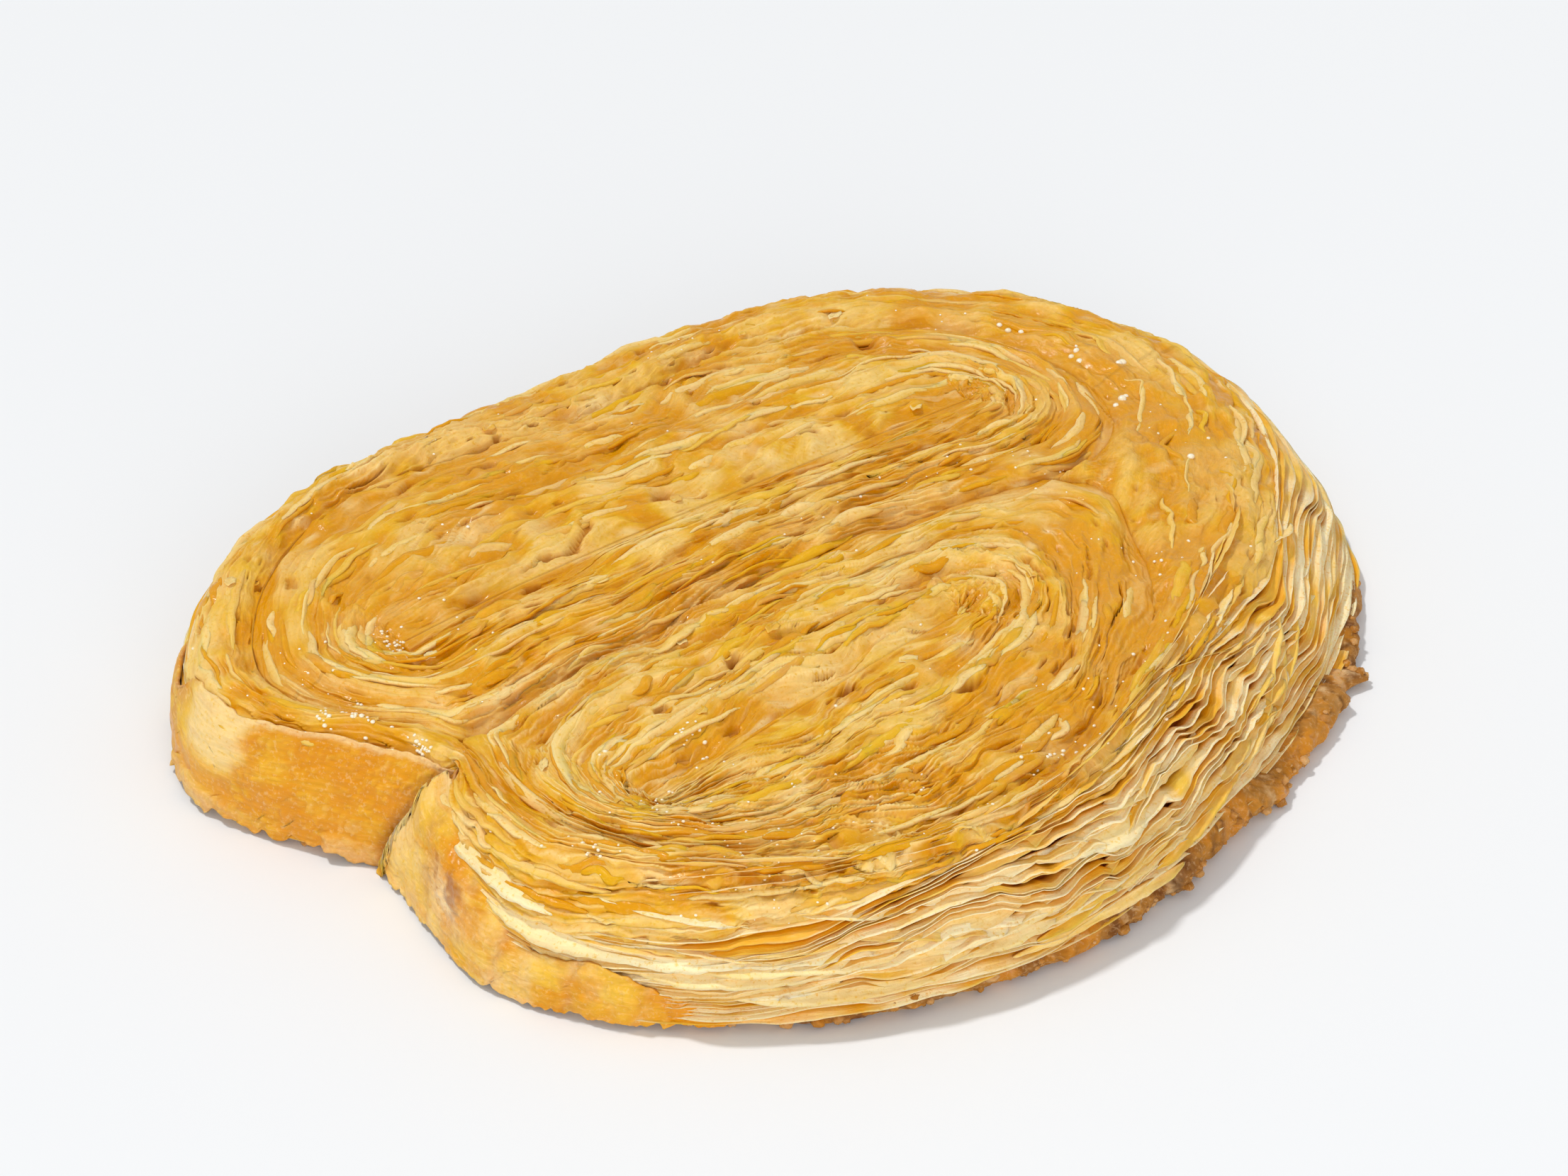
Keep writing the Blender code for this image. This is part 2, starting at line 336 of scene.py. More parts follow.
def pastry_material(name, base, toast, amber, pale, gap, gloss, frost):
    """Baked pastry. base to gap are its colours as sRGB codes, gloss the strength of the glaze's coat
    and frost that of the sugar grains on it.
    Streaks run with the leaves: fine ones under half a mm wide, and broad ones a few mm wide."""
    material = bpy.data.materials.new(name)
    material.use_nodes = True
    shader = material.node_tree.nodes["Principled BSDF"]
    place = add_node(material, "ShaderNodeTexCoord").outputs["Object"]
    grain = add_node(material, "ShaderNodeAttribute", {"attribute_name": "grain"}).outputs["Vector"]
    looks = {
        look: add_node(material, "ShaderNodeAttribute", {"attribute_name": look}).outputs["Fac"]
        for look in LOOKS
    }

    def streaks(wide, long, detail):
        """Noise in streaks some mm wide and some mm long."""
        size = (1 / wide, 1 / long, 1.0)
        stretched = add_node(material, "ShaderNodeVectorMath", {"operation": "MULTIPLY"}, i0=grain, i1=size)
        noise_node = add_node(
            material, "ShaderNodeTexNoise", Vector=stretched.outputs[0], Scale=1.0, Detail=detail, Roughness=0.6
        )
        return noise_node.outputs["Fac"]

    def picked(value, low, high):
        """0 below low, 1 above high, eased between."""
        node = add_node(
            material, "ShaderNodeMapRange", {"interpolation_type": "SMOOTHSTEP"}, Value=value,
            From_Min=low, From_Max=high,
        )
        return node.outputs[0]

    fine = streaks(0.32, 1.8, 2.0)
    broad = streaks(1.3, 6.0, 3.0)
    blotches = add_node(
        material, "ShaderNodeTexNoise", Vector=place, Scale=1 / (3.0 * MM), Detail=5.0, Roughness=0.65
    ).outputs["Fac"]
    grains = add_node(
        material, "ShaderNodeTexNoise", Vector=place, Scale=1 / (0.4 * MM), Detail=3.0, Roughness=0.6
    ).outputs["Fac"]
    browned = computed(material, "MULTIPLY", picked(blotches, 0.3, 0.6), looks["toast"], True)
    colour = mixed(material, browned, linear(base), linear(toast))
    deep = computed(material, "MULTIPLY", picked(broad, 0.50, 0.66), 0.6)
    colour = mixed(material, deep, colour, linear(amber))
    light = computed(material, "MULTIPLY", picked(fine, 0.54, 0.72), 0.4)
    light = computed(material, "MULTIPLY", light, picked(blotches, 0.36, 0.62))
    colour = mixed(material, light, colour, linear(pale))
    wet = computed(material, "MULTIPLY", picked(blotches, 0.15, 0.45), looks["amber"], True)
    colour = mixed(material, wet, colour, linear(amber))
    dry = computed(material, "MULTIPLY", picked(grains, 0.2, 0.5), looks["pale"], True)
    colour = mixed(material, dry, colour, linear(pale))
    sugar = computed(material, "MULTIPLY", picked(grains, 0.53, 0.68), frost)
    colour = mixed(material, sugar, colour, linear(pale))
    # painted shade: the gap colour darkens the points stored as lying deep
    colour = mixed(material, looks["gap"], colour, linear(gap))
    tone = add_node(material, "ShaderNodeMapRange", Value=fine, From_Min=0.3, From_Max=0.7, To_Min=0.93)
    tone.inputs["To Max"].default_value = 1.06
    toned = add_node(material, "ShaderNodeHueSaturation", Color=colour, Value=tone.outputs[0])
    material.node_tree.links.new(toned.outputs[0], shader.inputs["Base Color"])
    smooth = add_node(material, "ShaderNodeMapRange", Value=looks["amber"], To_Min=0.6, To_Max=0.3)
    material.node_tree.links.new(smooth.outputs[0], shader.inputs["Roughness"])
    coat = computed(material, "MULTIPLY", computed(material, "POWER", looks["amber"], 3.0), gloss)
    material.node_tree.links.new(coat, shader.inputs["Coat Weight"])
    shader.inputs["Coat Roughness"].default_value = 0.09
    shader.inputs["Specular IOR Level"].default_value = 0.1
    shader.inputs["Subsurface Weight"].default_value = 0.4
    shader.inputs["Subsurface Radius"].default_value = (1.0, 0.75, 0.4)
    shader.inputs["Subsurface Scale"].default_value = 0.3 * MM
    lines = add_node(material, "ShaderNodeBump", Height=fine, Strength=0.5, Distance=0.16 * MM)
    bump = add_node(
        material, "ShaderNodeBump", Height=grains, Strength=0.4, Distance=0.12 * MM, Normal=lines.outputs[0]
    )
    material.node_tree.links.new(bump.outputs[0], shader.inputs["Normal"])
    film = add_node(material, "ShaderNodeBump", Height=grains, Strength=0.6, Distance=0.12 * MM)
    material.node_tree.links.new(film.outputs[0], shader.inputs["Coat Normal"])
    return material


# %% The finishes
# the fifth colour of each finish is its gap colour, painted shade for deep places
TOP_CRUST = pastry_material(
    "glazed_leaf_edges", "#E5B31E", "#DAA356", "#DC9700", "#F4D795", "#BC7202", 0.4, 0.1
)
SIDE_LEAVES = pastry_material(
    "dry_leaves", "#F4C852", "#E2AC66", "#E8A50C", "#FFEABC", "#9C4C04", 0.2, 0.0
)
END_SKIN = pastry_material(
    "glazed_skin", "#ECBC3E", "#D09450", "#DC9002", "#F2D49A", "#96501A", 0.5, 0.28
)
CARAMEL = pastry_material(
    "caramel_foot", "#B47C36", "#7A4A22", "#CC8418", "#DEBA88", "#50280A", 0.5, 0.3
)


def glint_syrup_material():
    """Syrup that set in small, very smooth drops, coloured near white as painted glints over their own small
    highlights.
    """
    material = bpy.data.materials.new("syrup_painted_glints")
    material.use_nodes = True
    shader = material.node_tree.nodes["Principled BSDF"]
    place = add_node(material, "ShaderNodeTexCoord").outputs["Object"]
    cloud = add_node(material, "ShaderNodeTexNoise", Vector=place, Scale=1 / (1.5 * MM)).outputs["Fac"]
    # painted glint: the colour runs from cream to near white
    colour = mixed(material, cloud, linear("#F3DCA0"), linear("#FFFCF2"))
    material.node_tree.links.new(colour, shader.inputs["Base Color"])
    shader.inputs["Roughness"].default_value = 0.2
    shader.inputs["IOR"].default_value = 1.9
    return material


SYRUP_GLINTS = glint_syrup_material()
print("finishes:", [m.name for m in (TOP_CRUST, SIDE_LEAVES, CARAMEL, SYRUP_GLINTS)])

# %% [markdown]
# ## The two rolls
# Each roll is a spiral of the sheet round a flattened core. A grid suits it: one way runs round the roll
# like the leaves do, the other crosses them from the core to the border. Then a leaf is simply a whole
# number: the turns counted from the core, times the leaves in one thickness of the sheet. The height of a
# point is the solid's height, plus the bundle's, plus the leaf's own ridge, less the gap beside it.

# %% Where a roll lies
LEAVES_PER_TURN = 12
SHEET_TURNS = 3.0
CAP_SHARE = 0.17


def roll_border(side):
    """The roll's border as a fine line: the inner edge of the outer turn, then the seam."""
    seam = seam_line(np.linspace(0.0, 1.0, 400))
    if side == "front":
        bearing = np.linspace(SEAM_BEARING, 180.0, 1200)
    else:
        bearing = np.linspace(180.0, 360.0 + SEAM_BEARING, 1500)
        seam = seam[::-1]
    edge = polar(rim_radius(bearing) - turn_width(bearing), bearing)
    return np.concatenate([edge, seam])


def roll_grid(border, core, steps):
    """Pairs each border point with its foot on the core. A border point's place is given by the angle round
    the core's ends and by the distance along the core between them, which both sides of the roll share, so
    the two halves meet along the core. Returns border and foot, from the notch end by the seam side."""
    start, end = (np.array(point) for point in core)
    length = np.linalg.norm(end - start)
    along = (end - start) / length
    away = border - start
    forward = away @ along
    across = away[:, 0] * along[1] - away[:, 1] * along[0]
    before = np.degrees(np.arctan2(np.abs(across), -forward)) / 90 * CAP_SHARE
    after = 1 - np.degrees(np.arctan2(np.abs(across), forward - length)) / 90 * CAP_SHARE
    between = CAP_SHARE + forward / length * (1 - 2 * CAP_SHARE)
    station = np.where(forward < 0, before, np.where(forward > length, after, between))
    stations = np.linspace(0.0, 1.0, steps + 1)
    halves = []
    seam_side = -1 if core is FRONT_CORE else 1
    for sign in (seam_side, -seam_side):
        mine = across * sign > 0
        order = np.argsort(station[mine])
        known = station[mine][order]
        half = [np.interp(stations, known, border[mine][order][:, axis]) for axis in (0, 1)]
        halves.append(np.stack(half, axis=-1))
    for tip in (0, -1):
        halves[0][tip] = halves[1][tip] = (halves[0][tip] + halves[1][tip]) / 2
    share = np.clip((stations - CAP_SHARE) / (1 - 2 * CAP_SHARE), 0.0, 1.0)
    foot = start + share[:, None] * (end - start)
    return (
        np.concatenate([halves[0], halves[1][-2:0:-1]]),
        np.concatenate([foot, foot[-2:0:-1]]),
    )


# %% What lies on the top
GLAZE_SPOTS = (
    # place on the plan (mm), size (mm), strength: where syrup pooled and set smooth
    ((-13.0, 50.0), (8.0, 2.6), 0.9),
    ((-3.0, 50.0), (7.0, 3.0), 1.0),
    ((6.0, 46.0), (6.0, 3.6), 1.0),
    ((14.0, 42.0), (6.0, 5.0), 1.0),
    ((20.0, 35.5), (5.0, 5.0), 1.0),
    ((27.0, 28.0), (4.0, 6.0), 0.9),
    ((36.0, 12.0), (3.0, 8.0), 0.8),
    ((41.0, -2.0), (3.5, 5.0), 0.9),
    ((42.0, -16.0), (3.0, 4.0), 0.5),
    ((-22.0, 47.0), (6.0, 4.0), 0.6),
    ((-15.0, -35.0), (3.5, 3.0), 1.0),
    ((-9.0, -44.0), (6.0, 1.6), 0.8),
    ((-24.0, 6.0), (3.0, 7.0), 0.6),
    ((18.0, -27.0), (4.0, 3.0), 0.8),
    ((-5.0, -19.0), (3.0, 5.0), 0.5),
    ((19.0, -46.0), (6.0, 3.0), 0.6),
    ((34.0, 0.0), (2.5, 5.0), 0.6),
)
TOAST_SPOTS = (
    # ridges that caught the heat and browned
    ((-1.0, -8.0), (1.6, 7.0), 0.9),
    ((-0.5, 5.0), (1.8, 9.0), 0.8),
    ((2.0, 20.0), (2.5, 8.0), 0.9),
    ((8.0, 29.0), (5.0, 2.5), 0.9),
    ((12.5, 25.5), (3.0, 3.0), 0.9),
    ((29.0, -37.0), (5.0, 2.5), 1.0),
    ((36.0, -37.0), (4.0, 4.0), 0.8),
    ((18.0, 1.5), (3.0, 3.0), 0.6),
    ((-20.0, -3.0), (2.5, 6.0), 0.6),
    ((-16.0, -29.0), (5.0, 2.0), 0.7),
    ((22.0, 23.0), (4.0, 3.0), 0.6),
    ((36.0, 11.0), (2.5, 6.0), 0.6),
    ((-16.0, -44.0), (9.0, 2.0), 0.6),
    ((-25.0, 43.0), (8.0, 3.0), 0.7),
    ((-36.0, 20.0), (3.0, 10.0), 0.7),
    ((-40.0, -12.0), (3.0, 16.0), 0.7),
)
PALE_SPOTS = (
    # dry, pale flakes
    ((12.0, 2.7), (1.6, 3.0), 0.9),
    ((29.6, -27.0), (1.2, 2.2), 1.0),
    ((-33.0, 7.8), (1.4, 3.5), 0.8),
    ((-27.7, 21.0), (1.5, 1.8), 0.7),
    ((-6.0, 11.4), (1.5, 2.5), 0.7),
    ((-1.0, -33.5), (0.8, 4.0), 0.9),
    ((24.0, 0.2), (1.2, 1.5), 0.8),
    ((18.2, -37.6), (1.5, 1.5), 0.6),
    ((-22.0, -19.6), (1.5, 4.0), 0.6),
    ((-4.6, -38.9), (2.0, 1.5), 0.6),
)
PITS = (
    # small holes between the leaves, darkened with painted shade
    ((-14.2, -1.1), (0.9, 1.1), 0.9),
    ((-22.7, 35.7), (1.1, 1.0), 0.9),
    ((1.9, -26.8), (0.8, 3.0), 1.0),
    ((11.8, -16.8), (0.7, 0.8), 0.9),
    ((21.3, -12.0), (0.7, 1.3), 0.9),
    ((-18.4, -35.7), (0.9, 2.2), 0.4),
    ((-24.8, -11.7), (0.6, 1.6), 0.7),
    ((-14.2, -25.7), (0.7, 1.5), 0.8),
    ((29.6, -4.6), (0.6, 1.6), 0.8),
    ((7.3, -36.1), (0.6, 1.2), 0.6),
    ((4.0, 33.0), (0.7, 1.0), 0.7),
)
LEAFY_SPOTS = (
    # where the leaves' edges show most clearly
    ((22.0, -40.0), (11.0, 9.0), 1.0),
    ((36.0, -24.0), (8.0, 12.0), 0.9),
    ((4.0, -32.0), (3.0, 12.0), 0.8),
    ((25.0, -50.0), (16.0, 5.0), 1.0),
    ((44.0, -30.0), (6.0, 16.0), 1.0),
)
SMOOTH_SPOTS = (
    # where the last turn's face still covers the leaves' edges
    ((-20.0, 42.5), (6.0, 2.2), 0.9),
    ((-12.0, 43.0), (6.0, 2.4), 1.0),
    ((-4.0, 43.0), (5.0, 2.6), 1.0),
    ((2.0, 41.0), (3.6, 3.2), 1.0),
    ((5.5, 36.5), (2.8, 4.0), 1.0),
    ((7.0, 31.0), (2.2, 4.0), 0.9),
    ((-6.0, 33.0), (4.0, 3.0), 0.6),
    ((13.0, 43.0), (9.0, 5.0), 0.6),
    ((29.0, 29.0), (6.0, 8.0), 0.6),
    ((-20.0, -40.0), (16.0, 6.0), 0.6),
    ((-30.0, -26.0), (6.0, 10.0), 0.5),
)
CRINKLE_SPOT = ((35.0, -26.0), (8.0, 12.0))
DEEP_SPOTS = (
    # broad areas that took more syrup and baked a deeper amber
    ((-1.0, -8.0), (4.5, 24.0), 0.7),
    ((4.0, 44.0), (22.0, 9.0), 0.8),
    ((32.0, 20.0), (10.0, 18.0), 0.8),
    ((-18.0, -32.0), (11.0, 12.0), 0.8),
    ((-30.0, 0.0), (10.0, 24.0), 0.4),
)
DROP_SPOTS = (
    # large drops of syrup round the spine end, near white as painted glints
    ((-13.5, 48.3), (1.6, 1.0), 1.0),
    ((-5.4, 48.8), (1.0, 1.0), 0.9),
    ((-1.4, 51.1), (1.0, 1.0), 0.9),
    ((4.0, 45.8), (1.0, 1.4), 0.9),
    ((13.6, 40.4), (0.8, 0.8), 1.0),
    ((17.3, 41.0), (0.8, 0.8), 1.0),
)
SPARKLE_SPOTS = (
    # clusters of small drops, bright by their painted glint colour
    ((-10.6, -46.7), (1.6, 0.8), 1.0),
    ((-7.9, -44.9), (1.6, 0.7), 1.0),
    ((-1.5, -43.0), (1.8, 0.7), 0.9),
    ((-15.8, -35.0), (1.6, 1.2), 0.15),
    ((13.0, -34.0), (2.0, 2.0), 0.5),
    ((22.0, -44.0), (2.5, 1.5), 0.6),
    ((17.0, -27.0), (1.5, 1.5), 0.6),
    ((41.0, -6.0), (1.2, 3.0), 0.6),
)


def spots(plan, places):
    """The strongest of a list of spots at each point."""
    return np.max([strength * spot(plan, middle, size) for middle, size, strength in places], axis=0)


def leaf_relief(leaf, run, total, slip, plan):
    """The leaves' edges seen end on. leaf counts leaves across them; run is the way along them in mm and
    total the length of their loop. Wide noise gives soft ridges that follow the leaves. Crests, where a
    noise passes zero, fork and join as torn leaves do. The finest part is each leaf's own edge. Returns the
    height in mm, how far each point leans over, and the looks."""
    calm = np.clip(spots(plan, GLAZE_SPOTS) * (0.85 + 0.7 * rough(plan, 4.0, 51)), 0.0, 1.0)
    crinkle = spot(plan, *CRINKLE_SPOT)
    smooth = spots(plan, SMOOTH_SPOTS)
    clear = np.clip(0.38 + 0.6 * rough(plan, 6.0, 57) + spots(plan, LEAFY_SPOTS) - smooth, 0.05, 1.0)
    leaf = leaf + 2.4 * rough(plan, 9.0, 3, 2) + 0.9 * rough(plan, 4.0, 7, 1)
    leaf = leaf + (0.5 + 1.5 * crinkle) * rough(plan, 1.8, 5, 2)

    def grain(wide, long, seed, value=None):
        """Noise in cells some leaves wide and some mm long, closed round the loop."""
        cells = max(2, int(round(total / long)))
        across = leaf if value is None else value
        return noise(across / wide, run / total * cells, seed, cells, int(slip / wide))

    bundle = grain(4, 12.0, 23)
    strand = grain(2, 6.0, 29)
    branch = 1 - 2.0 * np.abs(grain(3, 4.5, 31))
    twig = 1 - 2.2 * np.abs(grain(1.5, 2.4, 37))
    sprig = 1 - 2.2 * np.abs(grain(0.75, 1.3, 39))
    whole = np.floor(leaf)
    share = leaf - whole
    own = grain(1, 5.0, 17, whole)
    brief = grain(1, 1.6, 19, whole)
    ridge = (1 - share) ** 0.8 * ease(share / 0.22)
    slot = ease((grain(0.75, 3.0, 47) - 0.74) / 0.12) * (1 - calm) * (1 - smooth)
    hole = np.clip(spots(plan, PITS) * 1.2, 0.0, 1.0)
    soft = 0.34 * bundle + 0.2 * strand + 0.2 * branch
    crisp = (1 - 0.75 * calm) * (1 - 0.7 * smooth)
    sharp = clear * (1 - 0.7 * calm)
    height = (
        -0.3
        + soft
        + 0.22 * rough(plan, 5.0, 41, 2)
        + (0.17 * twig + 0.09 * sprig * (1 + 0.8 * crinkle)) * crisp
        + 0.4 * sharp * (ridge * (0.8 + 0.7 * own) - 0.4)
        + 0.15 * clear * brief * crisp
        - 0.6 * slot
        - 1.2 * ease(hole)
        + calm * (0.45 * rough(plan, 2.6, 71, 2) - 0.2)
    )
    lean = 0.25 * clear * (ridge - 0.4) + 0.25 * strand + 0.16 * twig
    # Painted shade and light, in part: the low places take more amber and the high ones more pale. This stands in for
    # the relief's own shading, besides syrup run into the lows and dry crests.
    low = ease(0.55 - 1.2 * soft - 0.35 * (twig - 0.2))
    line = ease((0.3 - ridge) / 0.25) * ease(0.45 + grain(1, 2.6, 43, whole)) * ease(2.2 * clear - 1.0) * crisp
    fleck = ease(1.8 * grain(1.5, 3.0, 59) - 0.8)
    edge = ease((ridge - 0.5) / 0.35) * clear * crisp
    level = 1.5 * soft + 1.1 * rough(plan, 4.5, 53, 3)
    toasted = 0.5 * ease(1.5 * rough(plan, 5.0, 55, 2)) + 0.9 * spots(plan, TOAST_SPOTS)
    pool = calm * (0.9 + 0.8 * rough(plan, 3.0, 73, 2))
    syrupy = spots(plan, DEEP_SPOTS)
    syrup_and_low_shade = np.maximum(0.6 * low + 0.9 * ease(0.35 - 1.1 * level) - 0.3 * edge, pool) + 0.7 * syrupy
    light = np.maximum(0.7 * fleck, 0.55 * ease(0.1 + 0.9 * level)) * (1 - 0.8 * calm)
    light = light * (1 - 0.75 * syrupy)
    toasted = toasted + 0.8 * calm * ease(2.2 * rough(plan, 3.6, 75, 2) - 0.2)
    # Painted shade: the lines, slots and holes between leaves are darkened with the gap colour, and the crests' pale
    # edges are partly painted highlight.
    looks = {
        "toast": toasted + 0.25 * smooth + 0.2 * edge,
        "amber": syrup_and_low_shade + 0.5 * line,
        "pale": np.maximum(light, spots(plan, PALE_SPOTS)) + 0.7 * edge * ease(own + 0.5),
        "gap": np.clip(0.7 * slot + 0.9 * ease(hole) + 0.15 * line, 0.0, 1.0),
        "across": leaf * 0.62,
        "along": run,
    }
    return height, lean, looks


# %% Build a roll


def build_roll(side, core, steps, rows, under_rows):
    """One roll as a closed piece: its top from core to border, a short skirt down, and its underside."""
    border, foot = roll_grid(roll_border(side), core, steps)
    hand = 1 if side == "front" else -1
    reach = border - foot
    distance = np.linalg.norm(reach, axis=1)
    outward = reach / distance[:, None]
    away = border - np.mean(core, axis=0)
    turn = np.unwrap(np.arctan2(away[:, 0], away[:, 1]) * hand) / (2 * np.pi)
    turn = turn - np.round(turn[0] + 0.5)
    way = int(np.sign(turn[-1] - turn[0]))
    middle_line = foot + 0.6 * reach
    gaps = np.linalg.norm(np.roll(middle_line, -1, axis=0) - middle_line, axis=1)
    run = np.concatenate([[0.0], np.cumsum(gaps)[:-1]])
    share = np.linspace(0.0, 1.0, rows)[:, None]
    rounded = sum(np.roll(border, step, axis=0) for step in range(-12, 13)) / 25
    rounded = sum(np.roll(rounded, step, axis=0) for step in range(-6, 7)) / 13
    blend = share[..., None] ** 4
    plan = foot + share[..., None] * (rounded * (1 - blend) + border * blend - foot)
    wander = np.sin(4 * np.pi * turn + 5 * share) + np.sin(14 * np.pi * turn - 9 * share)
    phase = SHEET_TURNS * share + turn + 0.09 * wander + 0.12 * rough(plan, 9.0, 33, 2)
    groove = 0.75 * (0.5 + 0.5 * np.cos(2 * np.pi * phase)) ** 2 * (0.7 + 0.6 * rough(plan, 7.0, 35, 1))
    fine, lean, looks = leaf_relief(
        phase * LEAVES_PER_TURN, run + 0 * share, gaps.sum(), way * LEAVES_PER_TURN, plan
    )
    fade = ease(share / 0.06)
    from_border = (1 - share) * distance
    height = crown_height(plan) + (0.6 - groove) * np.sin(np.pi * share) ** 0.5
    inside = seam_side(border)
    height = height - border_depth(border) * np.exp(-((from_border / 1.2) ** 2))
    height = height + 0.5 * inside * (side == "rear") * np.exp(-(((from_border - 2.0) / 0.9) ** 2))
    height = height - 0.9 * np.exp(-((share * distance / 2.2) ** 2)) * fade - 0.9 * (1 - fade)
    height = np.where(share == 0, crown_height(foot) - 1.1, height + fine * fade)
    plan = plan + outward * (lean * fade)[..., None]
    # Painted shade: the crease along the roll's border is darkened with the gap colour, and the spiral grooves take
    # more amber, partly as painted shade.
    crease = np.exp(-((from_border / 0.45) ** 2)) * (0.05 + 0.2 * inside + 0.5 * rough(plan, 5.0, 65, 1))
    looks["gap"] = np.clip(looks["gap"] + crease, 0.0, 1.0)
    looks["amber"] = looks["amber"] + 0.7 * inside * np.exp(-((from_border / 1.8) ** 2))
    looks["amber"] = np.clip(looks["amber"] + 0.4 * ease(groove / 0.6), 0.0, 1.0)
    top = np.concatenate([plan, np.minimum(height, 16.6)[..., None]], axis=-1)
    skirt_plan = border + 0.5 * outward
    skirt = [np.column_stack([skirt_plan, crown_height(border) - drop]) for drop in (4.0, 9.0)]
    under_share = np.linspace(1.0, 0.0, under_rows)[:, None]
    under_plan = foot + under_share[..., None] * (skirt_plan - foot)
    under_phase = SHEET_TURNS * under_share + turn
    dent = 0.12 + 0.12 * np.cos(2 * np.pi * under_phase * 4) + 0.12 * rough(under_plan, 3.0, 61)
    dent = np.clip(dent, 0.0, 1.0) * ease(under_share / 0.1) + 0 * under_share
    under = np.concatenate([under_plan, dent[..., None]], axis=-1)
    points = np.concatenate([top.reshape(-1, 3), *skirt, under.reshape(-1, 3)])
    columns = len(border)
    faces = tube_faces(rows + len(skirt) + under_rows, columns, False)
    below = {
        "toast": 0.6 + 0.5 * rough(under_plan, 6.0, 63),
        "amber": 0.5 + 0.5 * rough(under_plan, 4.0, 67),
        "pale": np.zeros(dent.shape),
        "gap": ease(dent / 0.5) * 0.6,
    }
    hidden = np.full(len(skirt) * columns, 0.5)
    below["across"] = under_phase * LEAVES_PER_TURN * 0.62
    below["along"] = run + 0 * under_share
    all_looks = {name: np.concatenate([looks[name].ravel(), hidden, below[name].ravel()]) for name in looks}
    make_piece(side + "_roll", points, faces, all_looks, TOP_CRUST)
    return top, looks


def seam_side(border):
    """1 where a roll's border is the seam, 0 where the outer turn runs beside it."""
    bearing = np.degrees(np.arctan2(border[:, 0], border[:, 1]))
    edge = rim_radius(bearing) - turn_width(bearing)
    return ease((edge - np.hypot(border[:, 0], border[:, 1])) / 2.0)


def border_depth(border):
    """How deep the crease at a roll's border is: the seam deepens towards the notch."""
    along = np.clip((28.0 - border[:, 1]) / 68.0, 0.0, 1.0)
    return 0.6 + (1.7 * along**3 - 0.25) * seam_side(border)


front_top, front_looks = build_roll("front", FRONT_CORE, 208, 204, 24)
rear_top, rear_looks = build_roll("rear", REAR_CORE, 250, 170, 24)

# %% [markdown]
# ## The outside as one curve
# The last turn of the sheet wraps both rolls. Its section is one curve: from the crease beside the rolls
# (depth -1), over the rounded rim (0) and down the wall to the foot (1). Surfaces on the outside are given
# by a bearing, a depth, and how far they stand out from that curve.

# %% The section curve
PERIMETER_BEARINGS = np.linspace(0.0, 360.0, 7201)
PERIMETER = np.concatenate([[0.0], np.cumsum(outline(PERIMETER_BEARINGS[:-1]) * np.radians(0.05))])
AROUND = PERIMETER[-1]


def run_at(bearing):
    """Way round the outline in mm up to a bearing."""
    return np.interp(bearing % 360.0, PERIMETER_BEARINGS, PERIMETER)


def fold_away(bearing, depth):
    """Degrees past the fold where the front roll's end laps over the rear one's. It slants as it goes down."""
    return bearing - 175.0 - 8.0 * np.clip(depth, 0.0, 1.0)


def fold_tuck(bearing, depth):
    """How far the wall runs in at that fold: at once on the front roll's side, slowly out on the rear's."""
    away = fold_away(bearing, depth)
    return 1.9 * np.exp(-np.where(away < 0, -away / 0.8, away / 2.6)) * ease((depth + 0.2) / 0.2)


def section(bearing, depth):
    """Radius and height on the outside curve. The corner at the rim is rounded by averaging a short way to
    both sides of each point, shorter at the rear end, whose rim is sharp."""
    radius, height = -fold_tuck(bearing, depth), 0.0
    for step in (-1.0, -0.5, 0.0, 0.5, 1.0):
        shift = step * (0.16 - 0.09 * swell(bearing, 202.0, 20.0))
        at = np.clip(depth + shift * (1 - depth**2), -1.0, 1.0)
        share = np.maximum(-at, 0.0)
        rise = np.minimum(1 - at, 1.0)
        width = turn_width(bearing)
        ring = rim_radius(bearing) - share * width
        wall = outline(bearing) - rim_inset(bearing) * rise ** wall_power(bearing)
        wide = np.clip((width - 7.0) / 4.0, 0.0, 1.0)
        crease = 0.7 * np.exp(-(((1 - share) * width / 1.6) ** 2))
        fold = 0.9 * wide * np.exp(-(((share * width - 5.2) / 1.5) ** 2))
        top = crown_height(polar(ring, bearing)) + 0.7 * np.sin(np.pi * share) - crease - fold
        radius = radius + np.where(at < 0, ring, wall) / 5
        height = height + np.where(at < 0, top, rim_height(bearing) * rise) / 5
    return radius, height


def outside(bearing, depth, out=0.0):
    """Points on the outside: a bearing, a depth, and mm outwards at right angles to the curve."""
    bearing, depth, out = np.broadcast_arrays(bearing, depth, out)
    radius, height = section(bearing, depth)
    middle = np.clip(depth, -0.98, 0.98)
    before, after = section(bearing, middle - 0.02), section(bearing, middle + 0.02)
    along = np.stack([after[0] - before[0], after[1] - before[1]])
    along = along / np.linalg.norm(along, axis=0)
    radius = radius - along[1] * out
    height = height + along[0] * out
    return np.concatenate([polar(radius, bearing), height[..., None]], axis=-1)


def wall_length(bearing):
    """Length in mm of the curve from rim to foot."""
    radius, height = section(bearing, np.linspace(0.0, 1.0, 40)[:, None])
    return np.hypot(np.diff(radius, axis=0), np.diff(height, axis=0)).sum(axis=0)


def page_line(bearing):
    """Depth at which the open leaves begin: low on the front shoulder, close under the rim elsewhere."""
    wave = 0.05 * noise(0 * bearing, run_at(bearing) / AROUND * 30, 97, 30)
    return 0.12 + 0.26 * swell(bearing, 152.0, 19.0) + wave - 0.05 * swell(bearing, 85.0, 35.0)


# %% Build the outer turn
SHOULDER_BEARINGS = np.arange(0.0, 360.0, 0.45)
LEAF_PITCH = 0.62


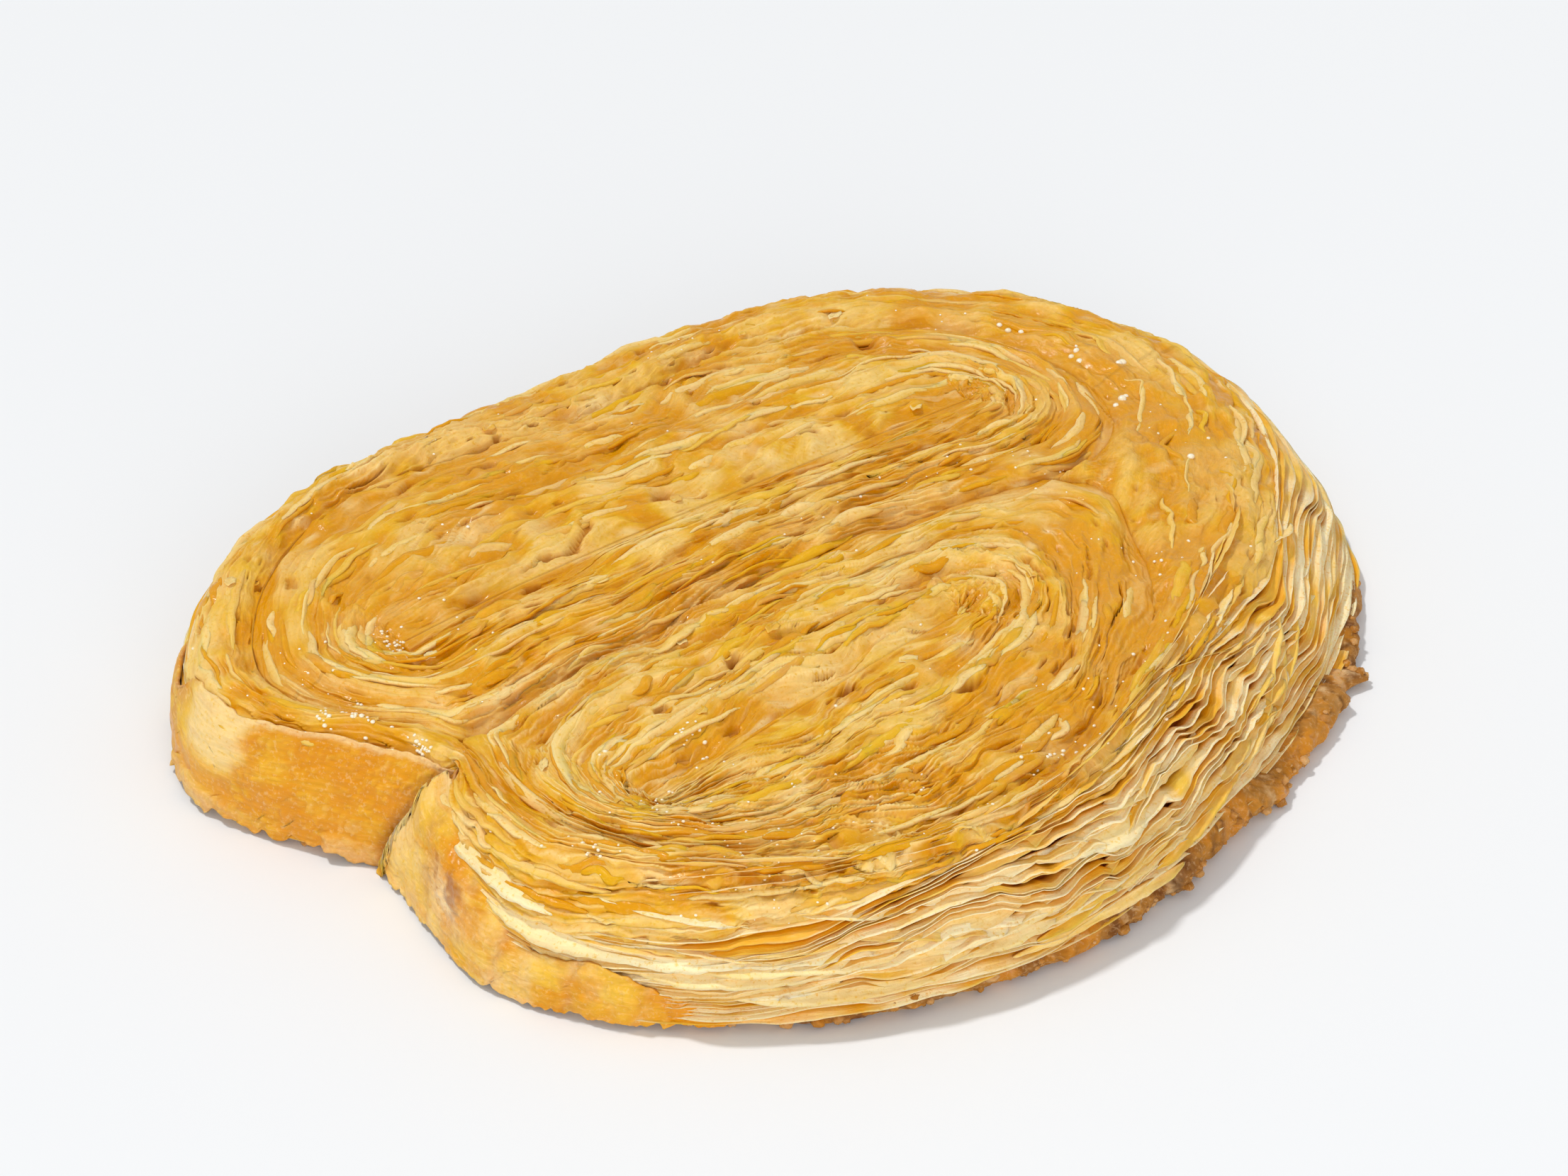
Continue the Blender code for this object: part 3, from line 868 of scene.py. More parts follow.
def build_outer_turn():
    """The band beside the rolls, the rim and the shoulder down to the page line, closed inside as a ring."""
    bearing = SHOULDER_BEARINGS
    band_rows = np.linspace(-1.0, 0.0, 58)[:, None] + 0 * bearing
    shoulder_rows = np.linspace(0.0, 1.0, 46)[1:, None] * (page_line(bearing) + 0.07)
    depth = np.concatenate([band_rows, shoulder_rows])
    scale = np.where(depth < 0, turn_width(bearing), wall_length(bearing))
    distance = depth * scale
    run = run_at(bearing) + 0 * distance
    plain = outside(bearing, depth)
    fine, lean, looks = leaf_relief(40 + distance / LEAF_PITCH, run, AROUND, 0, plain[..., :2])
    fade = ease((depth + 1.0) / 0.04)
    end = ease((page_line(bearing) + 0.07 - depth) / 0.03)
    points = outside(bearing, depth + lean / scale * fade, (fine + 0.15) * fade * end)
    points[..., 2] = np.minimum(points[..., 2], 16.6)
    # Painted shade: the crease beside the rolls is darkened with the gap colour.
    crease = np.exp(-(((1 + depth) * scale / 0.7) ** 2)) * (0.1 + 0.4 * rough(plain[..., :2], 5.0, 65, 1))
    looks["gap"] = np.clip(looks["gap"] + crease, 0.0, 1.0)
    last = depth[-1]
    tucked = [outside(bearing, last - 0.03, -1.2), outside(bearing, last - 0.06, -3.0)]
    inner = rim_radius(bearing) - turn_width(bearing) - 0.5
    hidden = [np.column_stack([polar(inner, bearing), 0 * bearing + z]) for z in (6.0, 10.0)]
    rows = [*points, *tucked, *hidden]
    faces = tube_faces(len(rows), len(bearing), True)
    filler = np.full(4 * len(bearing), 0.5)
    all_looks = {name: np.concatenate([looks[name].ravel(), filler]) for name in looks}
    make_piece("outer_turn", np.concatenate(rows), faces, all_looks, TOP_CRUST, replaces=True)
    return points, looks


outer_top, outer_looks = build_outer_turn()

# %% [markdown]
# ## The fanned leaves
# Round the side the leaves stand apart like the pages of a book left open. The wall is a pleated surface:
# each leaf has a face that comes out from under the leaf above, a thin tip, and an underside that runs back
# in. The tips' spacing is a running sum of uneven, always positive steps, so leaves crowd together and part
# again without crossing. Where a gap opens the pleat goes deep, and elsewhere it is a fine line.

# %% Build the pleated wall
PLEATS = 18
SLITS = (
    # bearing, how far round (degrees), depth, strength: where leaves stand well apart
    (123.0, 5.0, 0.56, 0.45),
    (103.5, 3.5, 0.64, 1.0),
    (105.0, 2.5, 0.24, 0.8),
    (74.0, 2.5, 0.22, 0.8),
    (88.0, 3.0, 0.42, 0.7),
    (137.0, 4.0, 0.66, 0.6),
)
SIDE_COLUMNS = 700


def side_bearings():
    """Bearings spaced closely on the fanned side and more widely round the back."""
    density = 1 + 1.1 * swell(PERIMETER_BEARINGS, 105.0, 60.0)
    total = np.cumsum(density)
    return np.interp(np.linspace(total[0], total[-1], SIDE_COLUMNS + 1)[:-1], total, PERIMETER_BEARINGS)


def ring_noise(k, bearing, long, seed):
    """Noise along the outline in cells this many mm long, a different one for each whole k."""
    cells = int(round(AROUND / long))
    return noise(k + 0 * bearing, run_at(bearing) / AROUND * cells + 0 * k, seed, cells)


def ring_wave(k, bearing, long, seed):
    """Smooth waves along the outline: for each whole k, three cosines near this length, with phases and
    strengths of their own."""
    angle = 2 * np.pi * run_at(bearing) / AROUND
    total = 0.0
    for part, share in enumerate((0.6, 1.0, 1.7)):
        count = max(1, int(round(AROUND / long * share)))
        kk = np.floor(k) + 0 * bearing
        phase = np.pi * scatter(kk, 0 * kk + part, seed)
        strong = 0.6 + 0.4 * scatter(kk, 0 * kk + part, seed + 1)
        total = total + strong * np.cos(count * angle + phase) / (1 + 0.5 * part)
    return total / 1.4


def build_side():
    """The pleated wall, the underside of the outer turn, and its hidden inner wall, as a closed ring."""
    bearing = side_bearings()
    length = wall_length(bearing)
    open_side = swell(bearing, 100.0, 52.0)
    k = np.arange(PLEATS + 1)[:, None] * 1.0
    opening = ease((ring_wave(k, bearing, 20.0, 111) + 0.2 * ring_wave(k, bearing, 7.0, 113) - 0.2) / 0.5)
    opening = 0.7 * opening * (0.1 + 0.9 * open_side)
    guess = page_line(bearing) + (0.88 - page_line(bearing)) * k / PLEATS
    for middle, wide, at, strength in SLITS:
        slit = strength * swell(bearing, middle, wide) * np.exp(-(((guess - at) / 0.03) ** 2))
        opening = np.maximum(opening, slit)
    step = np.exp(0.9 * ring_wave(k, bearing, 44.0, 101) + 0.3 * ring_wave(k, bearing, 24.0, 103))
    step = step * (1 + 1.5 * np.roll(opening, 1, axis=0))
    level = np.cumsum(step, axis=0)
    level = (level - step[0]) / (level[-1] - step[0])
    first = page_line(bearing)
    last = 0.93 - 0.12 * swell(bearing, 80.0, 40.0) - 0.03 * swell(bearing, 120.0, 12.0)
    tip = first + (last - first) * level
    tip = tip + (0.04 * ring_noise(k, bearing, 1.1, 107) + 0.1 * ring_wave(k, bearing, 9.0, 109)) / length
    space = np.diff(tip, axis=0, prepend=tip[:1] - 0.05) * length
    covered = swell(bearing, 160.0, 12.0) + swell(bearing, 184.0, 14.0) + swell(bearing, 206.0, 14.0)
    deep = 0.6 + 1.8 * opening + 1.4 * opening**4
    gap = np.minimum(0.14 + 0.7 * opening, 0.5 * np.roll(space, -1, axis=0)) + 0.05
    sunk = 1.0 * swell(bearing, 84.0, 44.0) * ease((tip - 0.5) / 0.3)
    stand = 0.25 + 0.35 * ring_wave(k, bearing, 14.0, 115) + 0.3 * opening + 0.25 * open_side
    stand = stand * (1 - 0.6 * np.minimum(covered, 1.0))
    shares = (0.0, 0.16, 0.45, 0.8)
    outs = (-1.0, -0.35, 0.25, 0.75)
    share_mm = (0.0, 0.3, 0.8, 1.3, 1.7, 1.8, 2.4)
    run = run_at(bearing)
    rows, looks = [], {look: [] for look in (*LOOKS, "across", "along")}
    tone = 0.7 * ring_wave(k, bearing, 26.0, 117) + 0.5 * scatter(k, 0 * k, 118)
    brown = ring_wave(k, bearing, 8.0, 119)
    high = 1 - level
    for j in range(1, PLEATS + 1):
        start = tip[j - 1] + gap[j - 1] / length
        face = tip[j] - start
        profile = []
        for share, out in zip(shares, outs):
            wrinkle = 0.07 * ring_wave(k[j] + 40 * share, bearing, 5.0, 121) * (share > 0.1)
            far = -deep[j - 1] if share == 0.0 else out * stand[j] - 0.1
            profile.append((start + share * face, far + wrinkle))
        profile.append((tip[j] - 0.04 / length, stand[j]))
        profile.append((tip[j] + 0.05 / length, stand[j] - 0.14))
        profile.append((tip[j] - 0.02 / length, -0.9 * deep[j]))
        for place, (at, out) in enumerate(profile):
            rows.append(outside(bearing, np.clip(at, 0.0, 0.97), out - sunk[j]))
            # Painted shade: the further in a point lies between the leaves, the more amber (near), then gap-dark
            # (shade), and the less pale it is painted.
            shade = ease((-out - 0.25) / 0.7)
            near = ease((-out + 0.05) / 0.5)
            edge = 1.0 if place in (4, 5) else 0.0
            looks["gap"].append(1.0 * shade)
            pale = 0.4 + 1.2 * tone[j] + 0.5 * brown[j] + 0.2 * open_side - 0.3 * high[j] * (1 - 0.5 * open_side)
            looks["pale"].append(pale * (1 - near) + 0.45 * edge)
            looks["toast"].append(0.2 + 0.4 * brown[j] + 0.25 * edge + 0.25 * (1 - open_side))
            wet = ease(0.1 - 1.6 * tone[j] + 0.8 * ring_noise(j, bearing, 2.5, 123))
            looks["amber"].append(0.05 + 0.6 * wet + 0.8 * near - 0.15 * edge)
            looks["across"].append(j * 3.0 + share_mm[place] + 0 * bearing)
            looks["along"].append(run)
    base = outline(bearing)
    inner = rim_radius(bearing) - turn_width(bearing) - 0.5
    flat = [base - 1.8] + [inner + share * (base - 1.8 - inner) for share in (0.8, 0.6, 0.4, 0.2, 0.0)]
    for radius in flat:
        plan = polar(radius, bearing)
        dent = np.clip(0.15 + 0.2 * rough(plan, 3.0, 61), 0.0, 1.0)
        rows.append(np.column_stack([plan, dent]))
    for z in (4.0, 9.0):
        rows.append(np.column_stack([polar(inner, bearing), 0 * bearing + z]))
    rows.append(outside(bearing, tip[0] - 0.02, -3.2))
    for look in looks:
        rest = 0.6 if look in ("toast", "amber") else 0.1
        more = run if look == "along" else np.full(len(bearing), rest)
        looks[look].extend([more] * (len(rows) - len(looks[look])))
    faces = tube_faces(len(rows), len(bearing), True)
    looks = {look: np.concatenate(value) for look, value in looks.items()}
    make_piece("side_leaves", np.concatenate(rows), faces, looks, SIDE_LEAVES)


build_side()

# %% [markdown]
# ## Free leaves and skins
# Some leaves lifted clear of the rest: long pale strips over the fanned side, and a thick cream one round
# the front roll's end. On the two rounded ends the sheet's outer skin still holds, with a torn upper edge.

# %% Thin sheets


def sheet(bearing, depth, out, thickness):
    """Points and faces of a thin closed sheet. Each array runs across (rows) and along (columns)."""
    front = outside(bearing, depth, out)
    back = outside(bearing, depth, out - thickness)
    loop = np.concatenate([front, back[::-1]])
    rows, columns = loop.shape[:2]
    index = np.arange(rows * columns).reshape(rows, columns)
    wrapped = np.vstack([index, index[:1]])
    body = np.stack([wrapped[:-1, :-1], wrapped[:-1, 1:], wrapped[1:, 1:], wrapped[1:, :-1]], axis=-1)
    half = rows // 2
    caps = []
    for column in (0, columns - 1):
        a, b = index[:half, column], index[::-1, column][:half]
        cap = np.stack([a[:-1], a[1:], b[1:], b[:-1]], axis=-1)
        caps.append(cap if column == 0 else cap[:, ::-1])
    return loop.reshape(-1, 3), np.concatenate([body.reshape(-1, 4), *caps])


FREE_LEAVES = [
    # bearings it runs between, depths at both ends, width (mm), lift (mm), pale, toast
    (136.0, 165.0, 0.46, 0.38, 2.8, 1.2, 1.0, 0.0),
    (128.0, 158.0, 0.56, 0.53, 1.4, 1.0, 0.8, 0.2),
    (155.0, 175.0, 0.33, 0.12, 2.6, 1.1, 1.0, 0.0),
    (126.0, 148.0, 0.36, 0.42, 1.2, 0.9, 0.4, 0.3),
    (98.0, 150.0, 0.50, 0.50, 1.5, 1.1, 0.9, 0.1),
    (90.0, 108.0, 0.36, 0.28, 2.8, 1.1, 0.9, 0.2),
    (76.0, 98.0, 0.30, 0.24, 1.6, 1.0, 0.6, 0.3),
    (84.0, 131.0, 0.62, 0.60, 1.3, 1.0, 0.7, 0.3),
    (109.0, 127.0, 0.40, 0.50, 2.2, 1.0, 0.6, 0.8),
    (117.0, 152.0, 0.70, 0.66, 1.4, 0.9, 0.7, 0.2),
    (88.0, 112.0, 0.76, 0.78, 1.1, 0.9, 0.5, 0.5),
    (222.0, 258.0, 0.26, 0.40, 2.0, 0.3, 0.3, 0.9),
    (240.0, 292.0, 0.40, 0.28, 1.8, 0.4, 0.2, 0.9),
    (262.0, 318.0, 0.58, 0.66, 1.8, 0.7, 0.4, 0.6),
    (318.0, 366.0, 0.30, 0.36, 1.6, 0.8, 0.5, 0.6),
    (340.0, 402.0, 0.58, 0.62, 1.6, 0.8, 0.5, 0.4),
]


def random_leaves(count):
    """Narrow free leaves over the fanned side, drawn at random, from just inside the rim to the foot."""
    start = rng.uniform(28.0, 138.0, count)
    long = rng.uniform(7.0, 24.0, count)
    high = rng.uniform(-0.3, 0.66, count)
    slope = rng.normal(0.0, 0.008, count) * long
    wide, lift = rng.uniform(0.4, 1.1, count), rng.uniform(0.4, 1.0, count)
    pale, toast = rng.uniform(0.0, 1.1, count), rng.uniform(0.0, 0.7, count)
    columns = (start, start + long, high, high + slope, wide, lift, pale, toast)
    return list(zip(*(column.tolist() for column in columns)))


def build_free_leaves(leaves):
    """Long strips tapered to nothing at both ends, tucked in along the top and lifted along the bottom."""
    points, faces, count = [], [], 0
    looks = {look: [] for look in (*LOOKS, "across", "along")}
    for number, (first, last, high, low, wide, lift, pale, toast) in enumerate(leaves):
        columns = int((last - first) * 2.6)
        t = np.linspace(0.0, 1.0, columns)
        bearing = first + (last - first) * t
        length = wall_length(bearing)
        path = high + (low - high) * t + 0.5 * ring_noise(number, bearing, 12.0, 131) / length
        path = path + 0.12 * ring_noise(number, bearing, 5.0, 135) / length
        taper = np.sin(np.pi * t) ** 0.55 * (1 + 0.25 * ring_noise(number, bearing, 5.0, 133)) + 0.02
        across = np.linspace(-0.5, 0.5, 7)[:, None]
        ragged = 0.12 * ring_noise(number + 7, bearing, 0.9, 137) * (across > 0.3)
        depth = path + (across * wide * taper + ragged) / length
        shape = (across + 0.5) ** 1.6
        ripple = 0.07 * ring_noise(number + 3 * across, bearing, 3.5, 139)
        out = -0.35 + (lift + 0.35) * shape * (0.7 + 0.5 * ring_noise(number, bearing, 8.0, 141)) * taper + ripple
        strip, strip_faces = sheet(bearing + 0 * across, depth, out, 0.16 + 0.1 * (0.5 - across))
        strip[:, 2] = np.clip(strip[:, 2], 0.05, 16.6)
        points.append(strip)
        faces.append(strip_faces + count)
        count += len(strip)
        both = np.concatenate([across, across[::-1]]) + 0 * t
        tone = np.concatenate([ring_noise(number + 2 * across, bearing, 6.0, 143)] * 2)
        # Painted shade along the tucked-in edge, where the strip runs under: less pale, more amber, and gap-dark.
        looks["pale"].append(pale * (0.8 + 0.4 * tone) * ease((both + 0.62) / 0.4))
        looks["toast"].append(toast * (0.7 + 0.5 * tone) + 0.4 * (both > 0.42))
        looks["amber"].append(0.15 + 0.5 * ease((-0.25 - both) / 0.2))
        looks["gap"].append(0.5 * ease((-0.36 - both) / 0.12))
        looks["across"].append(both * wide + 50.0 * number)
        looks["along"].append(run_at(bearing) + 0 * both)
    looks = {look: np.concatenate([part.ravel() for part in value]) for look, value in looks.items()}
    make_piece("free_leaves", np.concatenate(points), np.concatenate(faces), looks, SIDE_LEAVES)


build_free_leaves(FREE_LEAVES + random_leaves(90))

def blistered(flat, seed):
    """Bubbles and folds of a baked skin in mm, from the place on its own plane."""
    folds = 1 - 2 * np.abs(rough(flat * np.array([0.5, 1.0]), 3.0, seed + 4, 2))
    return 0.3 * rough(flat, 5.0, seed, 3) + 0.14 * np.abs(rough(flat, 1.6, seed + 2, 2)) + 0.22 * folds


def torn(bearing, long, seed):
    """A torn edge in mm: coarse bays, fine teeth."""
    return ring_noise(0, bearing, long, seed) + 0.5 * ring_noise(0, bearing, 0.25 * long, seed + 1)


def skin_parts(bearing, top, foot, out, looks):
    """A skin as a closed sheet, from grids of bearings and stand-out, the top and foot lines, and looks."""
    across = np.linspace(0.0, 1.0, len(bearing))[:, None]
    depth = top + across * (foot - top)
    points, faces = sheet(bearing, depth, out, 0.4 + 0 * out)
    edge = np.exp(-((across / 0.05) ** 2)) + np.exp(-(((1 - across) / 0.06) ** 2))
    looks = dict(looks, across=depth * wall_length(bearing[:1]), along=run_at(bearing))
    looks["toast"] = looks["toast"] + 0.35 * edge
    both = {name: np.concatenate([(v + 0 * out).ravel(), (v + 0 * out)[::-1].ravel()]) for name, v in looks.items()}
    return points, faces, both


def rear_skin():
    """Round the rear end. Syrup glazed it orange up to the fold, and it is dry and pale round the corner."""
    share = np.linspace(0.0, 1.0, 58)[:, None]
    end = 221.0 + 2.0 * noise(share * 4.0, 0 * share, 221) + 0.8 * noise(share * 16.0, 0 * share, 223)
    bearing = 171.0 + (end - 171.0) * np.linspace(0.0, 1.0, 330)
    line = bearing[:1]
    length = wall_length(line)
    top = 0.01 + 0.35 * ease((line - 206.0) / 7.0) + 0.3 * torn(line, 3.0, 151) / length
    foot = 0.98 - 0.09 * np.abs(torn(line, 3.4, 155)) - 0.03 * ease((line - 200.0) / 3.0)
    across = np.linspace(0.0, 1.0, len(bearing))[:, None]
    flat = np.stack([run_at(bearing), (top + across * (foot - top)) * length], axis=-1)
    glaze = ease((200.5 - bearing + 4.0 * rough(flat, 4.0, 157) + 5.0 * (across - 0.4)) / 4.0)
    sugar = ease((np.abs(rough(flat, 0.7, 159, 2)) - 0.12) / 0.4)
    out = 0.3 + blistered(flat, 161) + 0.14 * glaze * sugar
    out = out + 0.3 * (1 - glaze) * ease((bearing - 200.0) / 3.0)
    lip = ease((across - 0.8) / 0.12) * ease(0.3 + 1.5 * ring_noise(0, line, 4.0, 173))
    out = out + 0.8 * lip * (0.7 + 0.5 * ring_noise(1, line, 1.4, 174))
    out = out - 1.3 * ease(-fold_away(bearing, flat[..., 1] / length) / 2.0)
    out = out - 0.9 * ease((bearing - end + 5.0) / 5.0)
    # Painted shade in the fold where the front end laps over: the crease takes amber and gap colour.
    crease = np.exp(-((fold_away(bearing, flat[..., 1] / length) / 2.2) ** 2))
    looks = {
        "toast": 0.7 * glaze * ease(2.0 * rough(flat, 3.0, 175)) + 0.8 * ease((bearing - 206.0) / 4.0)
        + 1.1 * lip,
        "amber": glaze * (0.9 + 0.5 * rough(flat, 2.5, 177)) - 0.25 * sugar * glaze + 0.4 * crease
        + 0.8 * (1 - glaze) * ease((across - 0.5) / 0.2) * ease((0.9 - across) / 0.1) - 0.5 * lip,
        "pale": (1 - glaze) * (0.75 - 0.7 * ease((across - 0.45) / 0.2)) * ease((208.0 - bearing) / 3.0)
        + 0.6 * ease((0.08 - across) / 0.05) * glaze + 0.2 * glaze * sugar * ease(1.5 * rough(flat, 2.0, 176))
        + 0.3 * lip,
        "gap": 0.45 * crease * ease(1.2 + rough(flat, 3.0, 179)),
    }
    return skin_parts(bearing, top, foot, out, looks)


def front_skin():
    """Round the front end, in three torn layers. It laps over the fold at the notch as a rounded flap."""
    share = np.linspace(0.0, 1.0, 64)[:, None]
    flap = 175.0 + 8.3 * share + 0.35 * noise(share * 30.0, 0 * share, 181) + 0.4 * noise(share * 9.0, 0 * share, 183)
    t = np.linspace(0.0, 1.0, 300)
    bearing = 139.0 + (flap - 139.0) * t
    line = bearing[30:31]
    length = wall_length(line)
    low = 0.58 + 0.16 * ease((152.0 - line) / 9.0)
    top = low - (low - 0.06) * ease((line - 158.0) / 17.0) + 0.3 * torn(line, 3.2, 185) / length
    foot = 0.97 - 0.04 * np.abs(torn(line, 2.0, 187))
    flat = np.stack([run_at(bearing), (top + share * (foot - top)) * length], axis=-1)
    wobble = 1.6 * rough(flat * np.array([0.0, 1.0]), 2.6, 189, 3)
    layers = sum(ease((bearing - edge + wobble) / 0.5) for edge in (146.5, 153.5, 161.0))
    seams = sum(np.exp(-(((bearing - edge + wobble) / 0.5) ** 2)) for edge in (146.5, 153.5, 161.0))
    depth = flat[..., 1] / length
    lap = np.exp(-np.abs(fold_away(bearing, depth)) / 0.8)
    grit = np.abs(rough(flat, 0.8, 209, 2))
    out = 0.1 + blistered(flat, 191) + 0.28 * layers + 0.3 * ease((bearing - 168.0) / 8.0) + 0.25 * grit
    flush = ease(share / 0.3) + (1 - ease(share / 0.3)) * ease((160.0 - bearing) / 6.0)
    flush = flush * ease((bearing - 141.5 + wobble) / 2.0)
    out = out * flush - 0.35 * (1 - flush) + 1.9 * lap
    brown = 0.8 * spot(flat, (run_at(np.array(168.5)), 7.0), (3.6, 4.2))
    syrup = ease((150.0 - bearing + 3.0 * rough(flat, 3.0, 193)) / 4.0)
    out = out + 0.25 * brown * np.abs(rough(flat, 0.9, 195, 2)) * 2
    looks = {
        "toast": 0.15 + 0.6 * rough(flat, 3.0, 197) + 0.9 * brown + 0.5 * seams,
        "amber": 0.75 * syrup * (0.8 + 0.5 * rough(flat, 2.5, 199)) + 0.6 * brown
        + 0.7 * ease(1.5 * rough(flat, 4.0, 201)),
        "pale": (0.25 + 0.9 * rough(flat, 4.0, 203)) * (1 - syrup) + 0.35 * seams * ease(rough(flat, 2.0, 205) + 0.4),
        "gap": 0.9 * brown * ease(1.8 * rough(flat, 1.3, 207)) + 0.2 * seams * ease(-rough(flat, 2.0, 205)),
    }
    return skin_parts(bearing, top, foot, out, looks)


def build_end_skins():
    """Both skins as one piece."""
    rear, front = rear_skin(), front_skin()
    looks = {name: np.concatenate([rear[2][name], front[2][name]]) for name in rear[2]}
    points = np.concatenate([rear[0], front[0]])
    points[:, 2] = np.maximum(points[:, 2], 0.03)
    make_piece("end_skins", points, np.concatenate([rear[1], front[1] + len(rear[0])]), looks, END_SKIN)


build_end_skins()

# %% [markdown]
# ## The caramel foot
# Butter and sugar ran down and set on the tray as a rough brown lip, thickest under the fanned leaves.

# %% Build the foot


def build_foot():
    """A ring whose section is a low lump: its radius is the outline's plus noise, coarse and fine."""
    bearing = np.arange(0.0, 360.0, 0.36)
    run = run_at(bearing)
    section_share = np.linspace(0.0, 1.0, 40)[:, None]
    angle = np.pi * (section_share * 1.2 - 0.5)
    strong = 0.25 + 0.75 * swell(bearing, 82.0, 52.0)
    flat = np.stack([run + 0 * section_share, 8 * section_share + 0 * run], axis=-1)
    lumps = 0.5 * rough(flat, 3.2, 211, 3) + 0.9 * (0.4 - np.abs(rough(flat, 1.3, 213, 3)))
    ragged = 0.2 * noise(0 * run, run / 0.9, 215) + 0.7 * noise(0 * run, run / 4.0, 217) - 0.1
    spur = 2.0 * swell(bearing, 46.0, 1.3) + 0.8 * swell(bearing, 51.0, 1.0)
    out = np.maximum(np.cos(angle), 0.0) ** 0.7
    tall = (1.0 + 0.4 * noise(0 * run, run / 7.0, 189)) * (0.9 + 2.8 * strong)
    radius = outline(bearing) - 3.6 + (2.6 + 0.9 * strong) * out * (1 - 0.22 * (0.5 + 0.5 * np.sin(angle)))
    radius = radius + strong * (lumps + ragged) * ease(np.cos(angle) + 0.5) + spur * out**3
    height = tall * (0.5 + 0.5 * np.sin(angle)) + 0.5 * strong * lumps * ease(np.sin(angle))
    height = np.maximum(height, 0.0)
    ring = np.concatenate([polar(radius, bearing + 0 * section_share), height[..., None]], axis=-1)
    inside = [np.column_stack([polar(outline(bearing) - 7.0, bearing), 0 * bearing + z]) for z in (1.5, 0.1)]
    points = np.concatenate([ring.reshape(-1, 3), *inside])
    looks = {
        "toast": 0.6 + 1.2 * rough(points, 2.5, 191) + 0.3 * (points[:, 2] < 0.7),
        "amber": 0.9 * ease(1.8 * rough(points, 3.0, 193)),
        "pale": 0.7 * ease(1.8 * rough(points, 1.8, 195) - 0.5),
        "gap": 0.8 * ease(1.8 * rough(points, 1.2, 197) - 0.3),
    }
    faces = tube_faces(len(section_share) + len(inside), len(bearing), True)
    make_piece("caramel_foot", points, faces, looks, CARAMEL)
    return ring


foot_ring = build_foot()

# %% [markdown]
# ## Loose flakes, set syrup and crumbs
# Small things finish it: flakes of leaf that stand up from the top, beads of set syrup coloured near white
# as painted glints, and crumbs caught along the foot. Each kind is one small shape repeated, and each copy
# sits on a point of the surface that was already made.

# %% Scatter the small things

def pick(points, weight, count):
    """Points of a surface, drawn with chances in proportion to weight."""
    chance = np.clip(weight.ravel(), 0.0, None)
    return points.reshape(-1, 3)[rng.choice(chance.size, count, replace=False, p=chance / chance.sum())]


def ball(rows, columns):
    """Unit ball as a grid of points and its faces."""
    a = np.linspace(0.0, np.pi, rows)[:, None]
    b = np.linspace(0.0, 2 * np.pi, columns, endpoint=False)
    points = np.stack([np.sin(a) * np.cos(b), np.sin(a) * np.sin(b), np.cos(a) + 0 * b], axis=-1)
    return points.reshape(-1, 3), tube_faces(rows, columns, False)


def copies(shape, faces, places, scales, turns):
    """One shape repeated: each copy scaled, turned about Z and moved to its place."""
    cos, sin = np.cos(turns)[:, None], np.sin(turns)[:, None]
    scaled = shape[None] * scales[:, None, :]
    x = scaled[..., 0] * cos - scaled[..., 1] * sin
    y = scaled[..., 0] * sin + scaled[..., 1] * cos
    points = np.stack([x, y, scaled[..., 2]], axis=-1) + places[:, None, :]
    offsets = np.arange(len(places))[:, None, None] * len(shape)
    return points.reshape(-1, 3), (faces[None] + offsets).reshape(-1, 4)


def even_looks(size, **values):
    """The same looks over every point."""
    return {look: np.full(size, float(values.get(look, 0.0))) for look in LOOKS}


tops = np.concatenate([a.reshape(-1, 3) for a in (front_top, rear_top, outer_top)])
glazed = np.concatenate([a["amber"].ravel() for a in (front_looks, rear_looks, outer_looks)])
toasted = np.concatenate([a["toast"].ravel() for a in (front_looks, rear_looks, outer_looks)])
wet_places = spots(tops[:, :2], GLAZE_SPOTS) ** 2 + 0.03 * glazed
sweet_places = 0.25 * toasted * spots(tops[:, :2], TOAST_SPOTS) + 0.1 * spot(tops[:, :2], (32.0, -34.0), (9.0, 8.0))
spine_places = spots(tops[:, :2], DROP_SPOTS) ** 2
rim_places = spots(tops[:, :2], SPARKLE_SPOTS) ** 2

bead, bead_faces = ball(7, 10)
kinds = (
    # where, how many, smallest and largest size in mm
    (wet_places, 150, 0.09, 0.22),
    (sweet_places, 260, 0.08, 0.18),
    (spine_places, 12, 0.3, 0.5),
    (rim_places, 100, 0.12, 0.26),
)
places = np.concatenate([pick(tops, weight, count) for weight, count, _, _ in kinds])
sizes = np.concatenate([rng.uniform(small, large, count) for _, count, small, large in kinds])
scales = np.stack([sizes, sizes * rng.uniform(0.7, 1.1, len(sizes)), sizes * 0.7], axis=-1)
points, faces = copies(bead, bead_faces, places, scales, rng.uniform(0.0, 6.28, len(sizes)))
points[:, 2] = np.minimum(points[:, 2], 16.7)
make_piece("syrup_painted_glints", points, faces, even_looks(len(points), amber=1.0), SYRUP_GLINTS)


